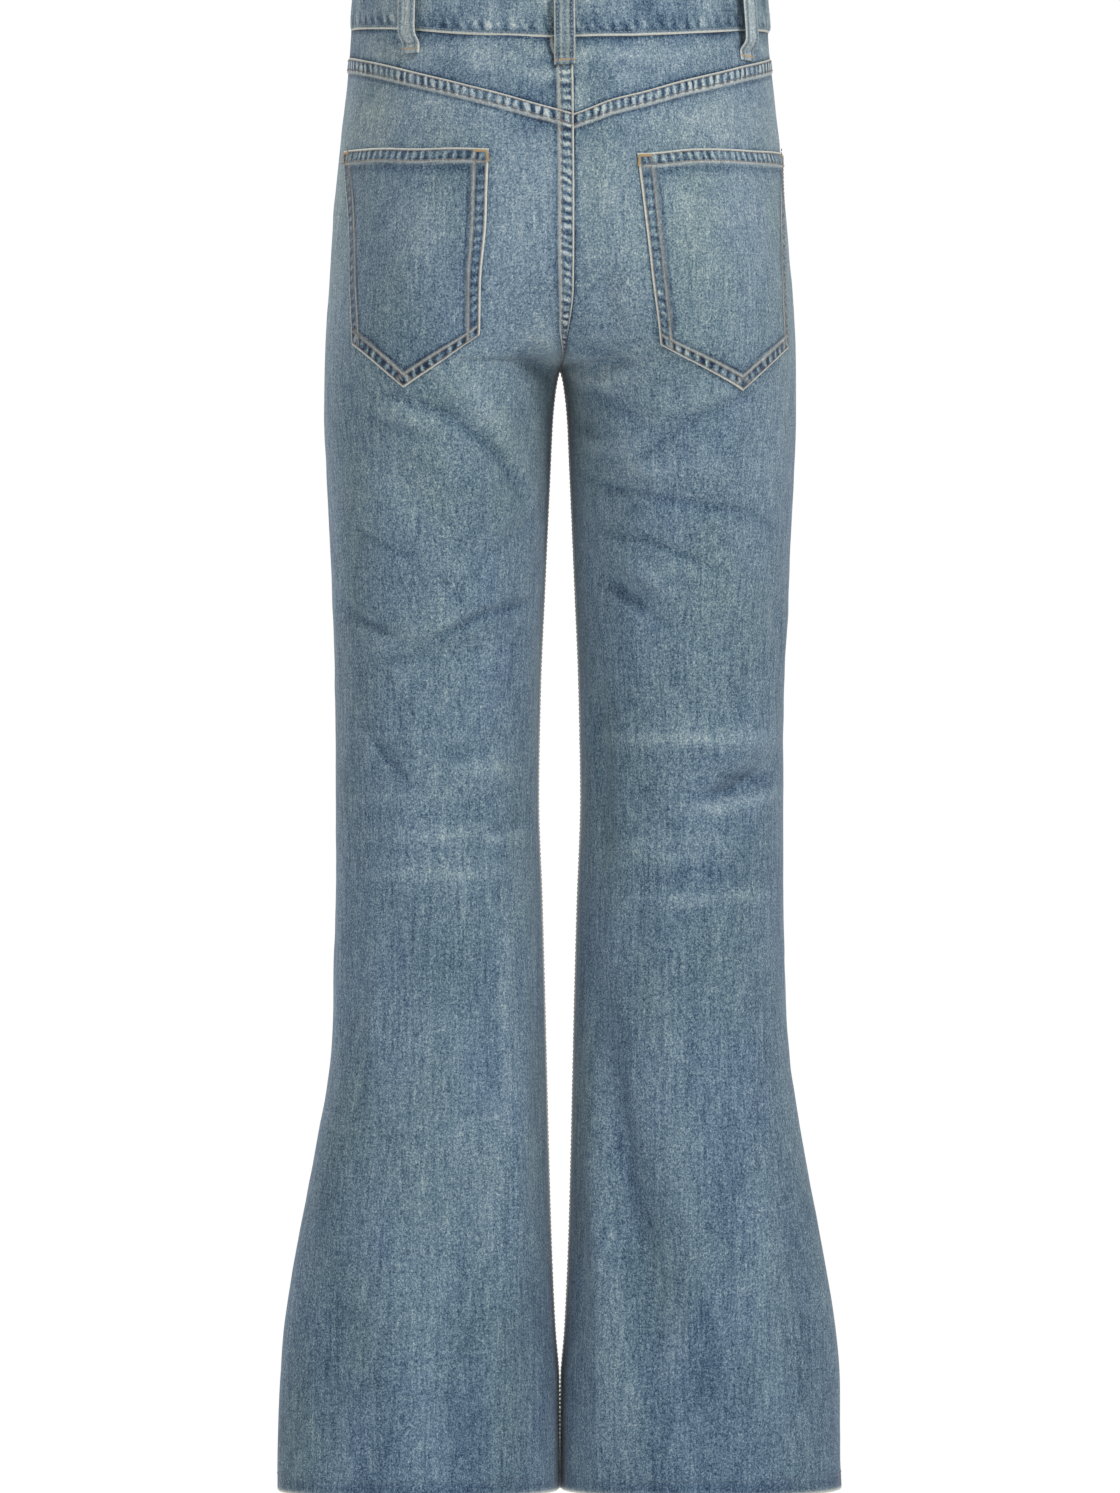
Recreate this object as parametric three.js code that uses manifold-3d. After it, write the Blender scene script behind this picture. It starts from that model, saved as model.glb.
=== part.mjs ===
// Flared denim jeans, filled out as worn, millimetres, +Z up.
// The front faces -Y and the wearer's left is +X.
// The origin is the middle of the waist, at half the waistband's height at the sides.
import * as THREE from "three";
import { mergeVertices } from "three/addons/utils/BufferGeometryUtils.js";
import Module from "manifold-3d";

// Driving dimensions
const seamGap = 0.3;
const denim = 1.5;
const crotchHeight = -263;
const hemHeight = -1077;
const sideSeamTurn = -0.08;
const waistband = {
  height: 40, wall: 3, proud: 1, edgeRound: 0.6, edgeDepth: 2.5, sideSeam: -20, backDip: 14, frontDip: 18,
};
const bandEnds = { under: 4.18, over: -0.01, lap: 0.95 };
const yoke = { side: -39, drop: 50.5, bend: 1.55 };
const felledSeam = { width: 10, ramp: 0.8, raise: 0.8, mostTurn: 0.12 };
const hem = { height: 14, ramp: 0.8, wall: 3 };
const seatBridge = { reach: 22, soft: 0.35 };
const fly = { step: 1.65, reach: 0.28, top: -172, bottom: -200 };
const zip = {
  from: 0.025, width: 6, sliderWidth: 10, sliderHeight: 12, shoulder: 1, outer: -0.7, wall: 2.3,
  drop: 2, bottom: -158, bends: [50, 85],
};
const flyShield = { from: -0.07, to: 0.16, outer: -3.9, drop: 1.5, bottom: -165 };
const pocketMouth = { turn: -0.48, sideHeight: -95 };
const facing = { innerTurn: -0.64, bottom: -132, recess: 2.4, rounding: 0.9 };
const beltLoop = { width: 15, wall: 1.6, stand: 5.8, seat: 7, rise: 9, drop: 1, arch: 0.3, bow: 0.75 };
const button = {
  around: 0.085, headRadius: 8.5, rimRadius: 7.4, headHeight: 2.8, shankRadius: 2.5, crown: 0.5,
  under: 0.6, lowEdge: 0.7, highEdge: 0.8, rimWidth: 1.2, bossRadius: 3, segments: 24,
};
const buttonhole = { length: 23, width: 8.6, inside: 1.4, outside: 6.6 };
const patchPocket = { lift: 1.45, hem: 10, tipAt: 0.4 };

// Half of the body from the waist down: a section for each height, for the wearer's left side.
// outer and inner are where the section reaches in X, back and front in Y, side is the middle's Y.
const levels = [
  { height: 24, outer: 150, inner: -150, back: 103, front: -97, side: 0 },
  { height: -20, outer: 151, inner: -148, back: 108, front: -102, side: 0 },
  { height: -60, outer: 154.5, inner: -132, back: 117, front: -107, side: 1 },
  { height: -110, outer: 160, inner: -110, back: 127, front: -111, side: 2 },
  { height: -150, outer: 164, inner: -92, back: 133, front: -113, side: 3 },
  { height: -190, outer: 167, inner: -67, back: 134, front: -113, side: 4 },
  { height: -220, outer: 169, inner: -40, back: 129, front: -112, side: 4 },
  { height: -243, outer: 170.5, inner: -15, back: 123, front: -110, side: 4 },
  { height: -256, outer: 171, inner: -3.5, back: 119, front: -108, side: 4 },
  { height: -263, outer: 171.2, inner: 0, back: 117, front: -107, side: 4 },
  { height: -275, outer: 171.4, inner: 3.2, back: 113, front: -105, side: 4 },
  { height: -300, outer: 171.6, inner: 6, back: 106, front: -102, side: 3 },
  { height: -345, outer: 170, inner: 8.2, back: 96, front: -98, side: 1 },
  { height: -420, outer: 166, inner: 11.5, back: 84, front: -91, side: -2 },
  { height: -500, outer: 163.8, inner: 14.8, back: 73, front: -84, side: -5 },
  { height: -575, outer: 163.4, inner: 16, back: 66, front: -79, side: -6 },
  { height: -650, outer: 163, inner: 13.5, back: 63, front: -76, side: -6 },
  { height: -720, outer: 164, inner: 11.6, back: 64, front: -73, side: -5 },
  { height: -770, outer: 168, inner: 10.4, back: 65, front: -71, side: -4 },
  { height: -830, outer: 178, inner: 9, back: 67, front: -69, side: -2 },
  { height: -900, outer: 190.5, inner: 7, back: 68, front: -68, side: 0 },
  { height: -960, outer: 200, inner: 4.2, back: 69, front: -68, side: 0 },
  { height: -1000, outer: 203, inner: 1.2, back: 70, front: -68, side: 0 },
  { height: -1077, outer: 205, inner: 0.7, back: 71, front: -69, side: 0 },
];

// The largest folds. turn and height place a fold's middle, lean is its direction in degrees,
// along and across are its reach, and rise is how far it stands out, or sinks in if negative.
const folds = [
  { leg: "left", turn: 0.85, height: -218, lean: -52, along: 40, across: 11, rise: -3 },
  { leg: "left", turn: 0.54, height: -341, lean: -40, along: 65, across: 15, rise: 3.5 },
  { leg: "left", turn: 0.47, height: -372, lean: -38, along: 50, across: 12, rise: -2.5 },
  { leg: "left", turn: 0.15, height: -437, lean: -30, along: 22, across: 9, rise: -3 },
  { leg: "left", turn: 0.5, height: -450, lean: 16, along: 55, across: 14, rise: 4 },
  { leg: "left", turn: 0.55, height: -474, lean: 12, along: 50, across: 12, rise: -3 },
  { leg: "left", turn: 0.41, height: -556, lean: 84, along: 60, across: 15, rise: 3 },
  { leg: "left", turn: 0.76, height: -828, lean: 87, along: 130, across: 13, rise: 4.5 },
  { leg: "left", turn: 0.6, height: -830, lean: 88, along: 140, across: 14, rise: -3.5 },
  { leg: "left", turn: 0.4, height: -930, lean: 95, along: 110, across: 18, rise: 3 },
  { leg: "left", turn: -0.5, height: -300, lean: 24, along: 60, across: 12, rise: -3 },
  { leg: "left", turn: -0.45, height: -545, lean: -14, along: 50, across: 14, rise: -4 },
  { leg: "left", turn: -0.6, height: -610, lean: 18, along: 45, across: 13, rise: 3.5 },
  { leg: "left", turn: -0.62, height: -880, lean: 93, along: 130, across: 15, rise: -4.5 },
  { leg: "left", turn: -0.38, height: -920, lean: 88, along: 120, across: 17, rise: 4 },
  { leg: "right", turn: 0.87, height: -220, lean: -55, along: 36, across: 10, rise: -2.5 },
  { leg: "right", turn: 0.5, height: -345, lean: -34, along: 60, across: 15, rise: 3 },
  { leg: "right", turn: 0.72, height: -424, lean: 27, along: 38, across: 10, rise: -4.5 },
  { leg: "right", turn: 0.16, height: -447, lean: 59, along: 18, across: 8, rise: -3 },
  { leg: "right", turn: 0.4, height: -540, lean: -18, along: 45, across: 17, rise: 5 },
  { leg: "right", turn: 0.31, height: -567, lean: -28, along: 46, across: 10, rise: -6.5 },
  { leg: "right", turn: 0.81, height: -564, lean: 88, along: 55, across: 10, rise: -4 },
  { leg: "right", turn: 0.66, height: -881, lean: 78, along: 165, across: 17, rise: -6.5 },
  { leg: "right", turn: 0.78, height: -950, lean: 87, along: 120, across: 13, rise: 4.5 },
  { leg: "right", turn: 0.36, height: -900, lean: 97, along: 120, across: 20, rise: 3.5 },
  { leg: "right", turn: -0.5, height: -310, lean: 28, along: 55, across: 12, rise: -3 },
  { leg: "right", turn: -0.5, height: -560, lean: 12, along: 50, across: 14, rise: -4 },
  { leg: "right", turn: -0.58, height: -625, lean: -16, along: 45, across: 13, rise: 3.5 },
  { leg: "right", turn: -0.56, height: -870, lean: 86, along: 130, across: 16, rise: -5 },
  { leg: "right", turn: -0.34, height: -930, lean: 92, along: 110, across: 17, rise: 3.5 },
];

// Corners of the back pockets as worn: turn round the leg and height
const pocketCorners = {
  left: {
    outerTop: [0.15, -110], innerTop: [0.765, -115], innerBottom: [0.672, -246],
    tip: [0.392, -283], outerBottom: [0.25, -251.5],
  },
  right: {
    outerTop: [0.085, -109.5], innerTop: [0.788, -117.5], innerBottom: [0.63, -253],
    tip: [0.35, -284], outerBottom: [0.175, -253],
  },
};

// Belt loops: place round the body (0 and 4 at centre front, 2 at centre back) and lowest height
const loopPlaces = [
  { name: "belt_loop_centre_back", around: 1.995, bottom: -54, clear: 1.3 },
  { name: "belt_loop_back_left", around: 1.49, bottom: -43.5, clear: 0.7 },
  { name: "belt_loop_back_right", around: 2.64, bottom: -45.5, clear: 0.7 },
  { name: "belt_loop_front_left", around: 0.47, bottom: -46, clear: 0.7 },
  { name: "belt_loop_front_right", around: 3.53, bottom: -46, clear: 0.7 },
];

// Mesh resolution
const seatRows = 16;
const legRows = 28;
const mouthRows = 6;
const backColumns = 16;
const frontColumns = 11;
const bandColumns = 68;
const yokeRows = 3;
const pocketRows = 9;
const pocketColumns = 10;
const facingRows = 4;
const facingColumns = 7;
const shieldRows = 6;
const shieldColumns = 5;
const seamSamples = 600;
const probe = 0.002;

const lerp = THREE.MathUtils.lerp;
const sectionKeys = ["outer", "inner", "back", "front", "side"];
const smooth = (t) => {
  const s = THREE.MathUtils.clamp(t, 0, 1);
  return s * s * (3 - 2 * s);
};

// Slopes of a curve through the levels that never overshoots them
const levelSlopes = Object.fromEntries(sectionKeys.map((key) => {
  const steps = levels.slice(1).map((level, i) => {
    const above = levels[i];
    return (level[key] - above[key]) / (level.height - above.height);
  });
  const slopes = levels.map((level, i) => {
    if (i === 0) return steps[0];
    if (i === levels.length - 1) return steps[i - 1];
    const product = steps[i - 1] * steps[i];
    return product <= 0 ? 0 : (2 * product) / (steps[i - 1] + steps[i]);
  });
  return [key, slopes];
}));

function sectionAt(height) {
  const found = levels.findIndex((level, i) => i > 0 && height >= level.height);
  const i = found < 0 ? levels.length - 1 : found;
  const above = levels[i - 1];
  const below = levels[i];
  const span = below.height - above.height;
  const t = (height - above.height) / span;
  const section = {};
  for (const key of sectionKeys) {
    const slopes = levelSlopes[key];
    section[key] = (2 * t ** 3 - 3 * t ** 2 + 1) * above[key] + (3 * t ** 2 - 2 * t ** 3) * below[key]
      + (t ** 3 - 2 * t ** 2 + t) * span * slopes[i - 1] + (t ** 3 - t ** 2) * span * slopes[i];
  }
  return section;
}

// Cosine of the angle at which a section meets X = 0, from its side round to the centre seam
function splitAt(section) {
  return Math.min((section.outer + section.inner) / (section.outer - section.inner), 1);
}

function seamAngle(height) {
  return Math.acos(-splitAt(sectionAt(height)));
}

// A straight line laid on the cloth between two places, each a turn and a height
function between(from, to, s) {
  const height = lerp(from[1], to[1], s);
  const angle = lerp(from[0] * seamAngle(from[1]), to[0] * seamAngle(to[1]), s);
  return [THREE.MathUtils.clamp(angle / seamAngle(height), -1, 1), height];
}

// A line that looks straight from behind, between two places on the back
function seenStraight(from, to, s) {
  const height = lerp(from[1], to[1], s);
  const x = lerp(plainPoint(...from).x, plainPoint(...to).x, s);
  const { outer, inner } = sectionAt(height);
  const cosine = ((x - (outer + inner) / 2) * 2) / (outer - inner);
  return [Math.acos(THREE.MathUtils.clamp(cosine, -1, 1)) / seamAngle(height), height];
}

// The plain form of the wearer's left half. turn is 0 at the side, 1 at the centre back and the
// inseam, -1 at the centre front and the inseam. Above the crotch the section stops at X = 0.
function plainPoint(turn, height) {
  const section = sectionAt(height);
  const halfWidth = (section.outer - section.inner) / 2;
  const middle = (section.outer + section.inner) / 2;
  const split = splitAt(section);
  const angle = Math.abs(turn) * Math.acos(-split);
  const depth = (turn >= 0 ? section.back : section.front) - section.side;
  const x = middle + halfWidth * Math.cos(angle);
  const open = Math.sqrt(1 - split * split);
  const slope = (depth * split * open) / (halfWidth * (open * open + seatBridge.soft ** 2));
  const bridge = seatBridge.reach * slope * Math.exp(-x / seatBridge.reach);
  return new THREE.Vector3(x, section.side + depth * Math.sin(angle) + bridge, height);
}

// The same for any turn: past the centre it goes on over the other half, or round the leg
function wrappedPoint(turn, height, pointAt) {
  if (Math.abs(turn) <= 1) return pointAt(turn, height);
  if (height <= crotchHeight) return pointAt(turn - 2 * Math.sign(turn), height);
  const point = pointAt(2 * Math.sign(turn) - turn, height);
  point.x = -point.x;
  return point;
}

function normalFrom(turn, height, pointAt) {
  const stepTurn = 0.004;
  const stepHeight = 0.5;
  const slopeAt = (level) => {
    const around = wrappedPoint(turn + stepTurn, level, pointAt);
    around.sub(wrappedPoint(turn - stepTurn, level, pointAt));
    const down = wrappedPoint(turn, level - stepHeight, pointAt);
    down.sub(wrappedPoint(turn, level + stepHeight, pointAt));
    return down.cross(around).normalize();
  };
  if (Math.abs(height - crotchHeight) > 2 * stepHeight) return slopeAt(height);
  const above = slopeAt(crotchHeight + 2 * stepHeight);
  return above.add(slopeAt(crotchHeight - 2 * stepHeight)).normalize();
}

function meanRadius(height) {
  const section = sectionAt(height);
  return Math.hypot(section.outer - section.inner, section.back - section.front) / Math.sqrt(8);
}

// How far the folds move a point outwards. They die away at the centre seams above the crotch.
function foldRise(leg, turn, height) {
  const centreFade = 30;
  const legBelow = height <= crotchHeight;
  const angle = turn * seamAngle(height);
  const radius = meanRadius(height);
  let rise = 0;
  for (const fold of folds) {
    const up = height - fold.height;
    if (fold.leg !== leg || Math.abs(up) > 3 * fold.along) continue;
    const apart = angle - fold.turn * seamAngle(fold.height);
    const sideways = radius * (legBelow ? apart - 2 * Math.PI * Math.round(apart / (2 * Math.PI)) : apart);
    const lean = THREE.MathUtils.degToRad(fold.lean);
    const along = (sideways * Math.cos(lean) + up * Math.sin(lean)) / fold.along;
    const across = (up * Math.cos(lean) - sideways * Math.sin(lean)) / fold.across;
    rise += fold.rise * Math.exp(-along * along - across * across);
  }
  if (legBelow) return rise;
  return rise * smooth(((1 - Math.abs(turn)) * seamAngle(height) * radius) / centreFade);
}

// The left front laps over the right one down the fly, so one steps out and the other in
function flyStep(leg, turn, height) {
  const round = smooth((sideSeamTurn - turn - (1 + sideSeamTurn - fly.reach)) / fly.reach);
  const down = smooth((height - fly.bottom) / (fly.top - fly.bottom));
  return (leg === "left" ? fly.step : -fly.step) * round * down;
}

function clothPoint(leg, turn, height) {
  const point = plainPoint(turn, height);
  const rise = foldRise(leg, turn, height) + (turn < 0 ? flyStep(leg, turn, height) : 0);
  if (rise === 0) return point;
  return point.addScaledVector(normalFrom(turn, height, plainPoint), rise);
}

// Outer and inner points of a wall that stands proud of the cloth's surface by an amount
function wallPair(leg, turn, height, proud, wall) {
  const pointAt = (t, h) => clothPoint(leg, t, h);
  const point = pointAt(turn, height);
  const normal = normalFrom(turn, height, pointAt);
  const outer = point.clone().addScaledVector(normal, proud);
  const inner = point.addScaledVector(normal, proud - wall);
  return [outer, inner].map((p) => {
    p.x = Math.max(p.x, 0) + seamGap / 2;
    if (leg === "right") p.x = -p.x;
    return p;
  });
}

// A wall of cloth from a grid of outer and inner points, closed along its four edges
function wallGeometry(pairs) {
  const rows = pairs.length;
  const columns = pairs[0].length;
  const positions = [];
  for (const side of [0, 1]) {
    for (const row of pairs) for (const pair of row) positions.push(...pair[side].toArray());
  }
  const at = (side, i, j) => (side * rows + i) * columns + j;
  const faces = [];
  const quad = (a, b, c, d) => faces.push([a, b, c], [a, c, d]);
  for (let i = 0; i < rows - 1; i++) {
    for (let j = 0; j < columns - 1; j++) {
      quad(at(0, i, j), at(0, i + 1, j), at(0, i + 1, j + 1), at(0, i, j + 1));
      quad(at(1, i, j), at(1, i, j + 1), at(1, i + 1, j + 1), at(1, i + 1, j));
    }
    const last = columns - 1;
    quad(at(0, i + 1, 0), at(0, i, 0), at(1, i, 0), at(1, i + 1, 0));
    quad(at(0, i, last), at(0, i + 1, last), at(1, i + 1, last), at(1, i, last));
  }
  for (let j = 0; j < columns - 1; j++) {
    const last = rows - 1;
    quad(at(0, 0, j), at(0, 0, j + 1), at(1, 0, j + 1), at(1, 0, j));
    quad(at(0, last, j + 1), at(0, last, j), at(1, last, j), at(1, last, j + 1));
  }
  return facingOut(positions, faces);
}

function facingOut(positions, faces) {
  const corner = (index) => new THREE.Vector3().fromArray(positions, index * 3);
  const volume = faces.reduce((sum, [a, b, c]) => sum + corner(a).dot(corner(b).cross(corner(c))), 0);
  const turned = volume < 0 ? faces.map(([a, b, c]) => [a, c, b]) : faces;
  const geometry = new THREE.BufferGeometry();
  geometry.setAttribute("position", new THREE.Float32BufferAttribute(positions, 3));
  geometry.setIndex(turned.flat());
  geometry.computeVertexNormals();
  return geometry;
}

const evenly = (count) => Array.from({ length: count + 1 }, (_, i) => i / count);

function waistSeam(turn) {
  const dip = turn > 0 ? waistband.backDip : waistband.frontDip;
  return waistband.sideSeam - dip * Math.sin((turn * Math.PI) / 2) ** 2;
}

function yokeSeam(turn) {
  return yoke.side - yoke.drop * Math.max(turn, 0) ** yoke.bend;
}

// Turn that covers a length of cloth next to a place on the surface
function turnFor(length, turn, height) {
  const step = probe * Math.sign(turn);
  return (length * probe) / plainPoint(turn, height).distanceTo(plainPoint(turn - step, height));
}

// Heights down a centre seam that are even along the cloth as it curves under the crotch
function centreSeamHeights(face, top, count) {
  const heights = evenly(seamSamples).map((s) => crotchHeight + (top - crotchHeight) * (1 - s) ** 2);
  const lengths = [0];
  for (let i = 1; i <= seamSamples; i++) {
    const step = plainPoint(face, heights[i]).distanceTo(plainPoint(face, heights[i - 1]));
    lengths.push(lengths[i - 1] + step);
  }
  return evenly(count).map((s) => {
    const wanted = s * lengths[seamSamples];
    const found = lengths.findIndex((length) => length >= wanted);
    const i = found < 0 ? seamSamples : Math.max(1, found);
    return lerp(heights[i - 1], heights[i], (wanted - lengths[i - 1]) / (lengths[i] - lengths[i - 1]));
  });
}

// Rows of a leg below the crotch, level all round, with a double wall at the turned hem
function hemRows() {
  const top = hemHeight + hem.height + hem.ramp;
  const rows = evenly(legRows).slice(1).map((s) => lerp(crotchHeight, top, s));
  return rows.map((height) => ({ outer: height, inner: height, wall: denim })).concat(
    { outer: hemHeight + hem.height, inner: hemHeight + hem.height, wall: hem.wall },
    { outer: hemHeight, inner: hemHeight, wall: hem.wall },
  );
}

// A panel between an outer edge and a centre seam. Each row gives both ends, its wall and its rise.
function panelGeometry(leg, rows, columns, felled) {
  const pairs = rows.map((row) => {
    const face = Math.sign(row.innerTurn);
    const outerTurn = row.outerTurn + face * turnFor(seamGap / 2, row.outerTurn, row.outer);
    const innerTurn = row.innerTurn - face * turnFor(seamGap / 2, face, row.inner);
    const bandTurn = (width) => (
      innerTurn - face * Math.min(turnFor(width, face, row.inner), felledSeam.mostTurn)
    );
    const turns = felled
      ? evenly(columns - 2).map((s) => lerp(outerTurn, bandTurn(felledSeam.width + felledSeam.ramp), s))
        .concat(bandTurn(felledSeam.width), innerTurn)
      : evenly(columns).map((s) => lerp(outerTurn, innerTurn, s));
    return turns.map((evenTurn, j) => {
      const across = (evenTurn - outerTurn) / (innerTurn - outerTurn);
      const level = between([outerTurn, row.outer], [innerTurn, row.inner], across);
      const followed = row.edge ? row.follow : 0;
      const turn = lerp(level[0], evenTurn, followed);
      const height = followed > 0 ? lerp(level[1], row.edge(evenTurn), followed) : level[1];
      const raise = Math.max(row.raise ?? 0, felled && j >= columns - 1 ? felledSeam.raise : 0);
      return wallPair(leg, turn, height, raise, row.wall + raise);
    });
  });
  return wallGeometry(pairs);
}

function backLeg(leg) {
  const bandEdge = felledSeam.width + felledSeam.ramp;
  const topRow = (below, raise) => ({
    edge: (turn) => yokeSeam(turn) - seamGap / 2 - below,
    outer: yokeSeam(0) - below, inner: yokeSeam(1) - below, follow: 1, raise, wall: denim,
  });
  const seat = centreSeamHeights(1, yokeSeam(1) - bandEdge, seatRows);
  const seatTop = yokeSeam(0) - bandEdge;
  const rows = [topRow(0, felledSeam.raise), topRow(felledSeam.width, felledSeam.raise), topRow(bandEdge, 0)]
    .concat(seat.slice(1).map((inner, i) => {
      const s = (i + 1) / seatRows;
      const outer = lerp(seatTop, crotchHeight, s);
      const edge = (turn) => outer + (inner - outer) * Math.max(turn, 0) ** yoke.bend;
      return { edge, outer, inner, follow: 1 - smooth(s * 2), wall: denim };
    }), hemRows());
  const placed = rows.map((row) => ({ ...row, outerTurn: sideSeamTurn, innerTurn: 1 }));
  return panelGeometry(leg, placed, backColumns, leg === "left");
}

function frontLeg(leg) {
  const mouthTop = waistSeam(pocketMouth.turn);
  const mouth = evenly(mouthRows).map((s) => {
    const angle = (s * Math.PI) / 2;
    return {
      outerTurn: lerp(sideSeamTurn, pocketMouth.turn, Math.cos(angle)),
      outer: lerp(mouthTop - seamGap / 2, pocketMouth.sideHeight, Math.sin(angle)),
    };
  });
  const sideRows = seatRows - mouthRows;
  const side = evenly(sideRows).slice(1).map((s) => ({
    outerTurn: sideSeamTurn, outer: lerp(pocketMouth.sideHeight, crotchHeight, s),
  }));
  const centre = centreSeamHeights(-1, waistSeam(-1) - seamGap / 2, seatRows);
  const rows = mouth.concat(side).map((row, i) => ({ ...row, inner: centre[i], wall: denim }));
  Object.assign(rows[0], { follow: 1, edge: (turn) => waistSeam(turn) - seamGap / 2 });
  const legPart = hemRows().map((row) => ({ ...row, outerTurn: sideSeamTurn }));
  const placed = rows.concat(legPart).map((row) => ({ ...row, innerTurn: -1 }));
  return panelGeometry(leg, placed, frontColumns, true);
}

function backYoke(leg) {
  const rows = evenly(yokeRows).map((s) => ({
    edge: (turn) => lerp(waistSeam(turn) - seamGap / 2, yokeSeam(turn) + seamGap / 2, s),
    outer: lerp(waistSeam(0), yokeSeam(0), s), inner: lerp(waistSeam(1), yokeSeam(1), s),
    outerTurn: sideSeamTurn, innerTurn: 1, follow: 1, wall: denim,
  }));
  return panelGeometry(leg, rows, backColumns, leg === "left");
}

// A pocket of five sides, its points the leg's own surface moved out, with a turned top hem
function backPocket(leg) {
  const corners = pocketCorners[leg];
  const columns = evenly(pocketColumns);
  const { tipAt } = patchPocket;
  const bottomAt = (s) => (s < tipAt
    ? seenStraight(corners.outerBottom, corners.tip, s / tipAt)
    : seenStraight(corners.tip, corners.innerBottom, (s - tipAt) / (1 - tipAt)));
  const depth = corners.outerTop[1] - corners.outerBottom[1];
  const hemEnd = patchPocket.hem / depth;
  const rampEnd = (patchPocket.hem + felledSeam.ramp) / depth;
  const rows = [0, hemEnd].concat(evenly(pocketRows).map((s) => lerp(rampEnd, 1, s)));
  const topAt = (s) => seenStraight(corners.outerTop, corners.innerTop, s);
  const pairs = rows.map((down) => columns.map((s) => {
    const [turn, height] = seenStraight(topAt(s), bottomAt(s), down);
    const raise = down < rampEnd ? felledSeam.raise : 0;
    const wall = denim + raise;
    return wallPair(leg, turn, height, patchPocket.lift + wall, wall);
  }));
  return wallGeometry(pairs);
}

function pocketFacing(leg) {
  const outerTurn = sideSeamTurn - turnFor(seamGap / 2, sideSeamTurn, yoke.side);
  const pairs = evenly(facingRows).map((down) => evenly(facingColumns).map((s) => {
    const turn = lerp(outerTurn, facing.innerTurn, s);
    const top = waistSeam(turn) - seamGap / 2;
    const round = Math.sqrt(1 - (s * facing.rounding) ** 2);
    const height = lerp(top, lerp(top, facing.bottom, round), down);
    return wallPair(leg, turn, height, -facing.recess, denim);
  }));
  return wallGeometry(pairs);
}

// A place right round the body: 0 at centre front, 1 at the left side, 2 at centre back, 3 at the right
function ringPair(around, height, proud, wall) {
  const place = (around + 4) % 4;
  const leg = place <= 2 ? "left" : "right";
  const turn = leg === "left" ? place - 1 : 3 - place;
  const point = plainPoint(turn, height);
  const normal = normalFrom(turn, height, plainPoint);
  const pair = [proud, proud - wall].map((offset) => point.clone().addScaledVector(normal, offset));
  if (leg === "right") pair.forEach((p) => { p.x = -p.x; });
  return pair;
}

const ringTurn = (around) => {
  const place = (around + 4) % 4;
  return place <= 2 ? place - 1 : 3 - place;
};

// How far the waistband steps in at its right end, under the lap, and out at its left end
function bandStep(around) {
  const fromCentre = around > 2 ? 4 - around : around;
  const step = around > 2 ? -fly.step : fly.step;
  return step * smooth((1 - bandEnds.lap - fromCentre) / fly.reach + 1);
}

function waistbandGeometry() {
  const { edgeDepth } = waistband;
  const heights = [0, edgeDepth, waistband.height - edgeDepth, waistband.height];
  const pairs = heights.map((above) => evenly(bandColumns).map((s) => {
    const around = lerp(bandEnds.under, bandEnds.over, s);
    const height = waistSeam(ringTurn(around)) + seamGap / 2 + above;
    const edge = above === 0 || above === waistband.height ? waistband.edgeRound : 0;
    const proud = waistband.proud + bandStep(around) - edge;
    return ringPair(around, height, proud, waistband.wall - 2 * edge);
  }));
  return wallGeometry(pairs);
}

// Middle of the waistband's front lap, where the button goes through
function buttonPlace() {
  const height = waistSeam(ringTurn(button.around)) + seamGap / 2 + waistband.height / 2;
  const proud = waistband.proud + bandStep(button.around);
  const [outer, inner] = ringPair(button.around, height, proud, waistband.wall);
  const out = outer.clone().sub(inner).normalize();
  return { outer, inner, out };
}

function placedAlong(geometry, origin, out) {
  const frame = new THREE.Matrix4().lookAt(out, new THREE.Vector3(), new THREE.Vector3(0, 0, 1));
  return geometry.applyMatrix4(frame.setPosition(origin));
}

function buttonholeCutter() {
  const { inner, out } = buttonPlace();
  const half = buttonhole.length / 2 - buttonhole.width / 2;
  const shape = new THREE.Shape();
  shape.absarc(half, 0, buttonhole.width / 2, -Math.PI / 2, Math.PI / 2);
  shape.absarc(-half, 0, buttonhole.width / 2, Math.PI / 2, (3 * Math.PI) / 2);
  const depth = buttonhole.inside + waistband.wall + buttonhole.outside;
  const slot = new THREE.ExtrudeGeometry(shape, { depth, bevelEnabled: false, curveSegments: 6 });
  const start = inner.clone().addScaledVector(out, -buttonhole.inside);
  return placedAlong(slot, start, out);
}

// Buttons are turned: a shank on the under end of the band and a domed head over the lap
function buttonGeometry() {
  const { outer, out } = buttonPlace();
  const shankDepth = 2 * fly.step - seamGap;
  const shankLength = shankDepth + seamGap;
  const { shankRadius, headRadius, rimRadius, headHeight, crown } = button;
  const profile = [
    [0, 0], [shankRadius, 0], [shankRadius, shankLength], [headRadius - button.under, shankLength],
    [headRadius, shankLength + button.lowEdge], [headRadius, shankLength + headHeight - button.highEdge],
    [rimRadius, shankLength + headHeight], [rimRadius - button.rimWidth, shankLength + headHeight - crown],
    [button.bossRadius, shankLength + headHeight - crown / 2], [0, shankLength + headHeight],
  ].map(([radius, length]) => new THREE.Vector2(radius, length));
  const turned = new THREE.LatheGeometry(profile, button.segments).rotateX(Math.PI / 2);
  turned.deleteAttribute("normal");
  turned.deleteAttribute("uv");
  const body = placedAlong(mergeVertices(turned), outer.clone().addScaledVector(out, -shankDepth), out);
  const faces = [];
  const index = body.getIndex().array;
  for (let i = 0; i < index.length; i += 3) {
    const face = [index[i], index[i + 1], index[i + 2]];
    if (new Set(face).size === 3) faces.push(face);
  }
  return facingOut(Array.from(body.getAttribute("position").array), faces);
}

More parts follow.
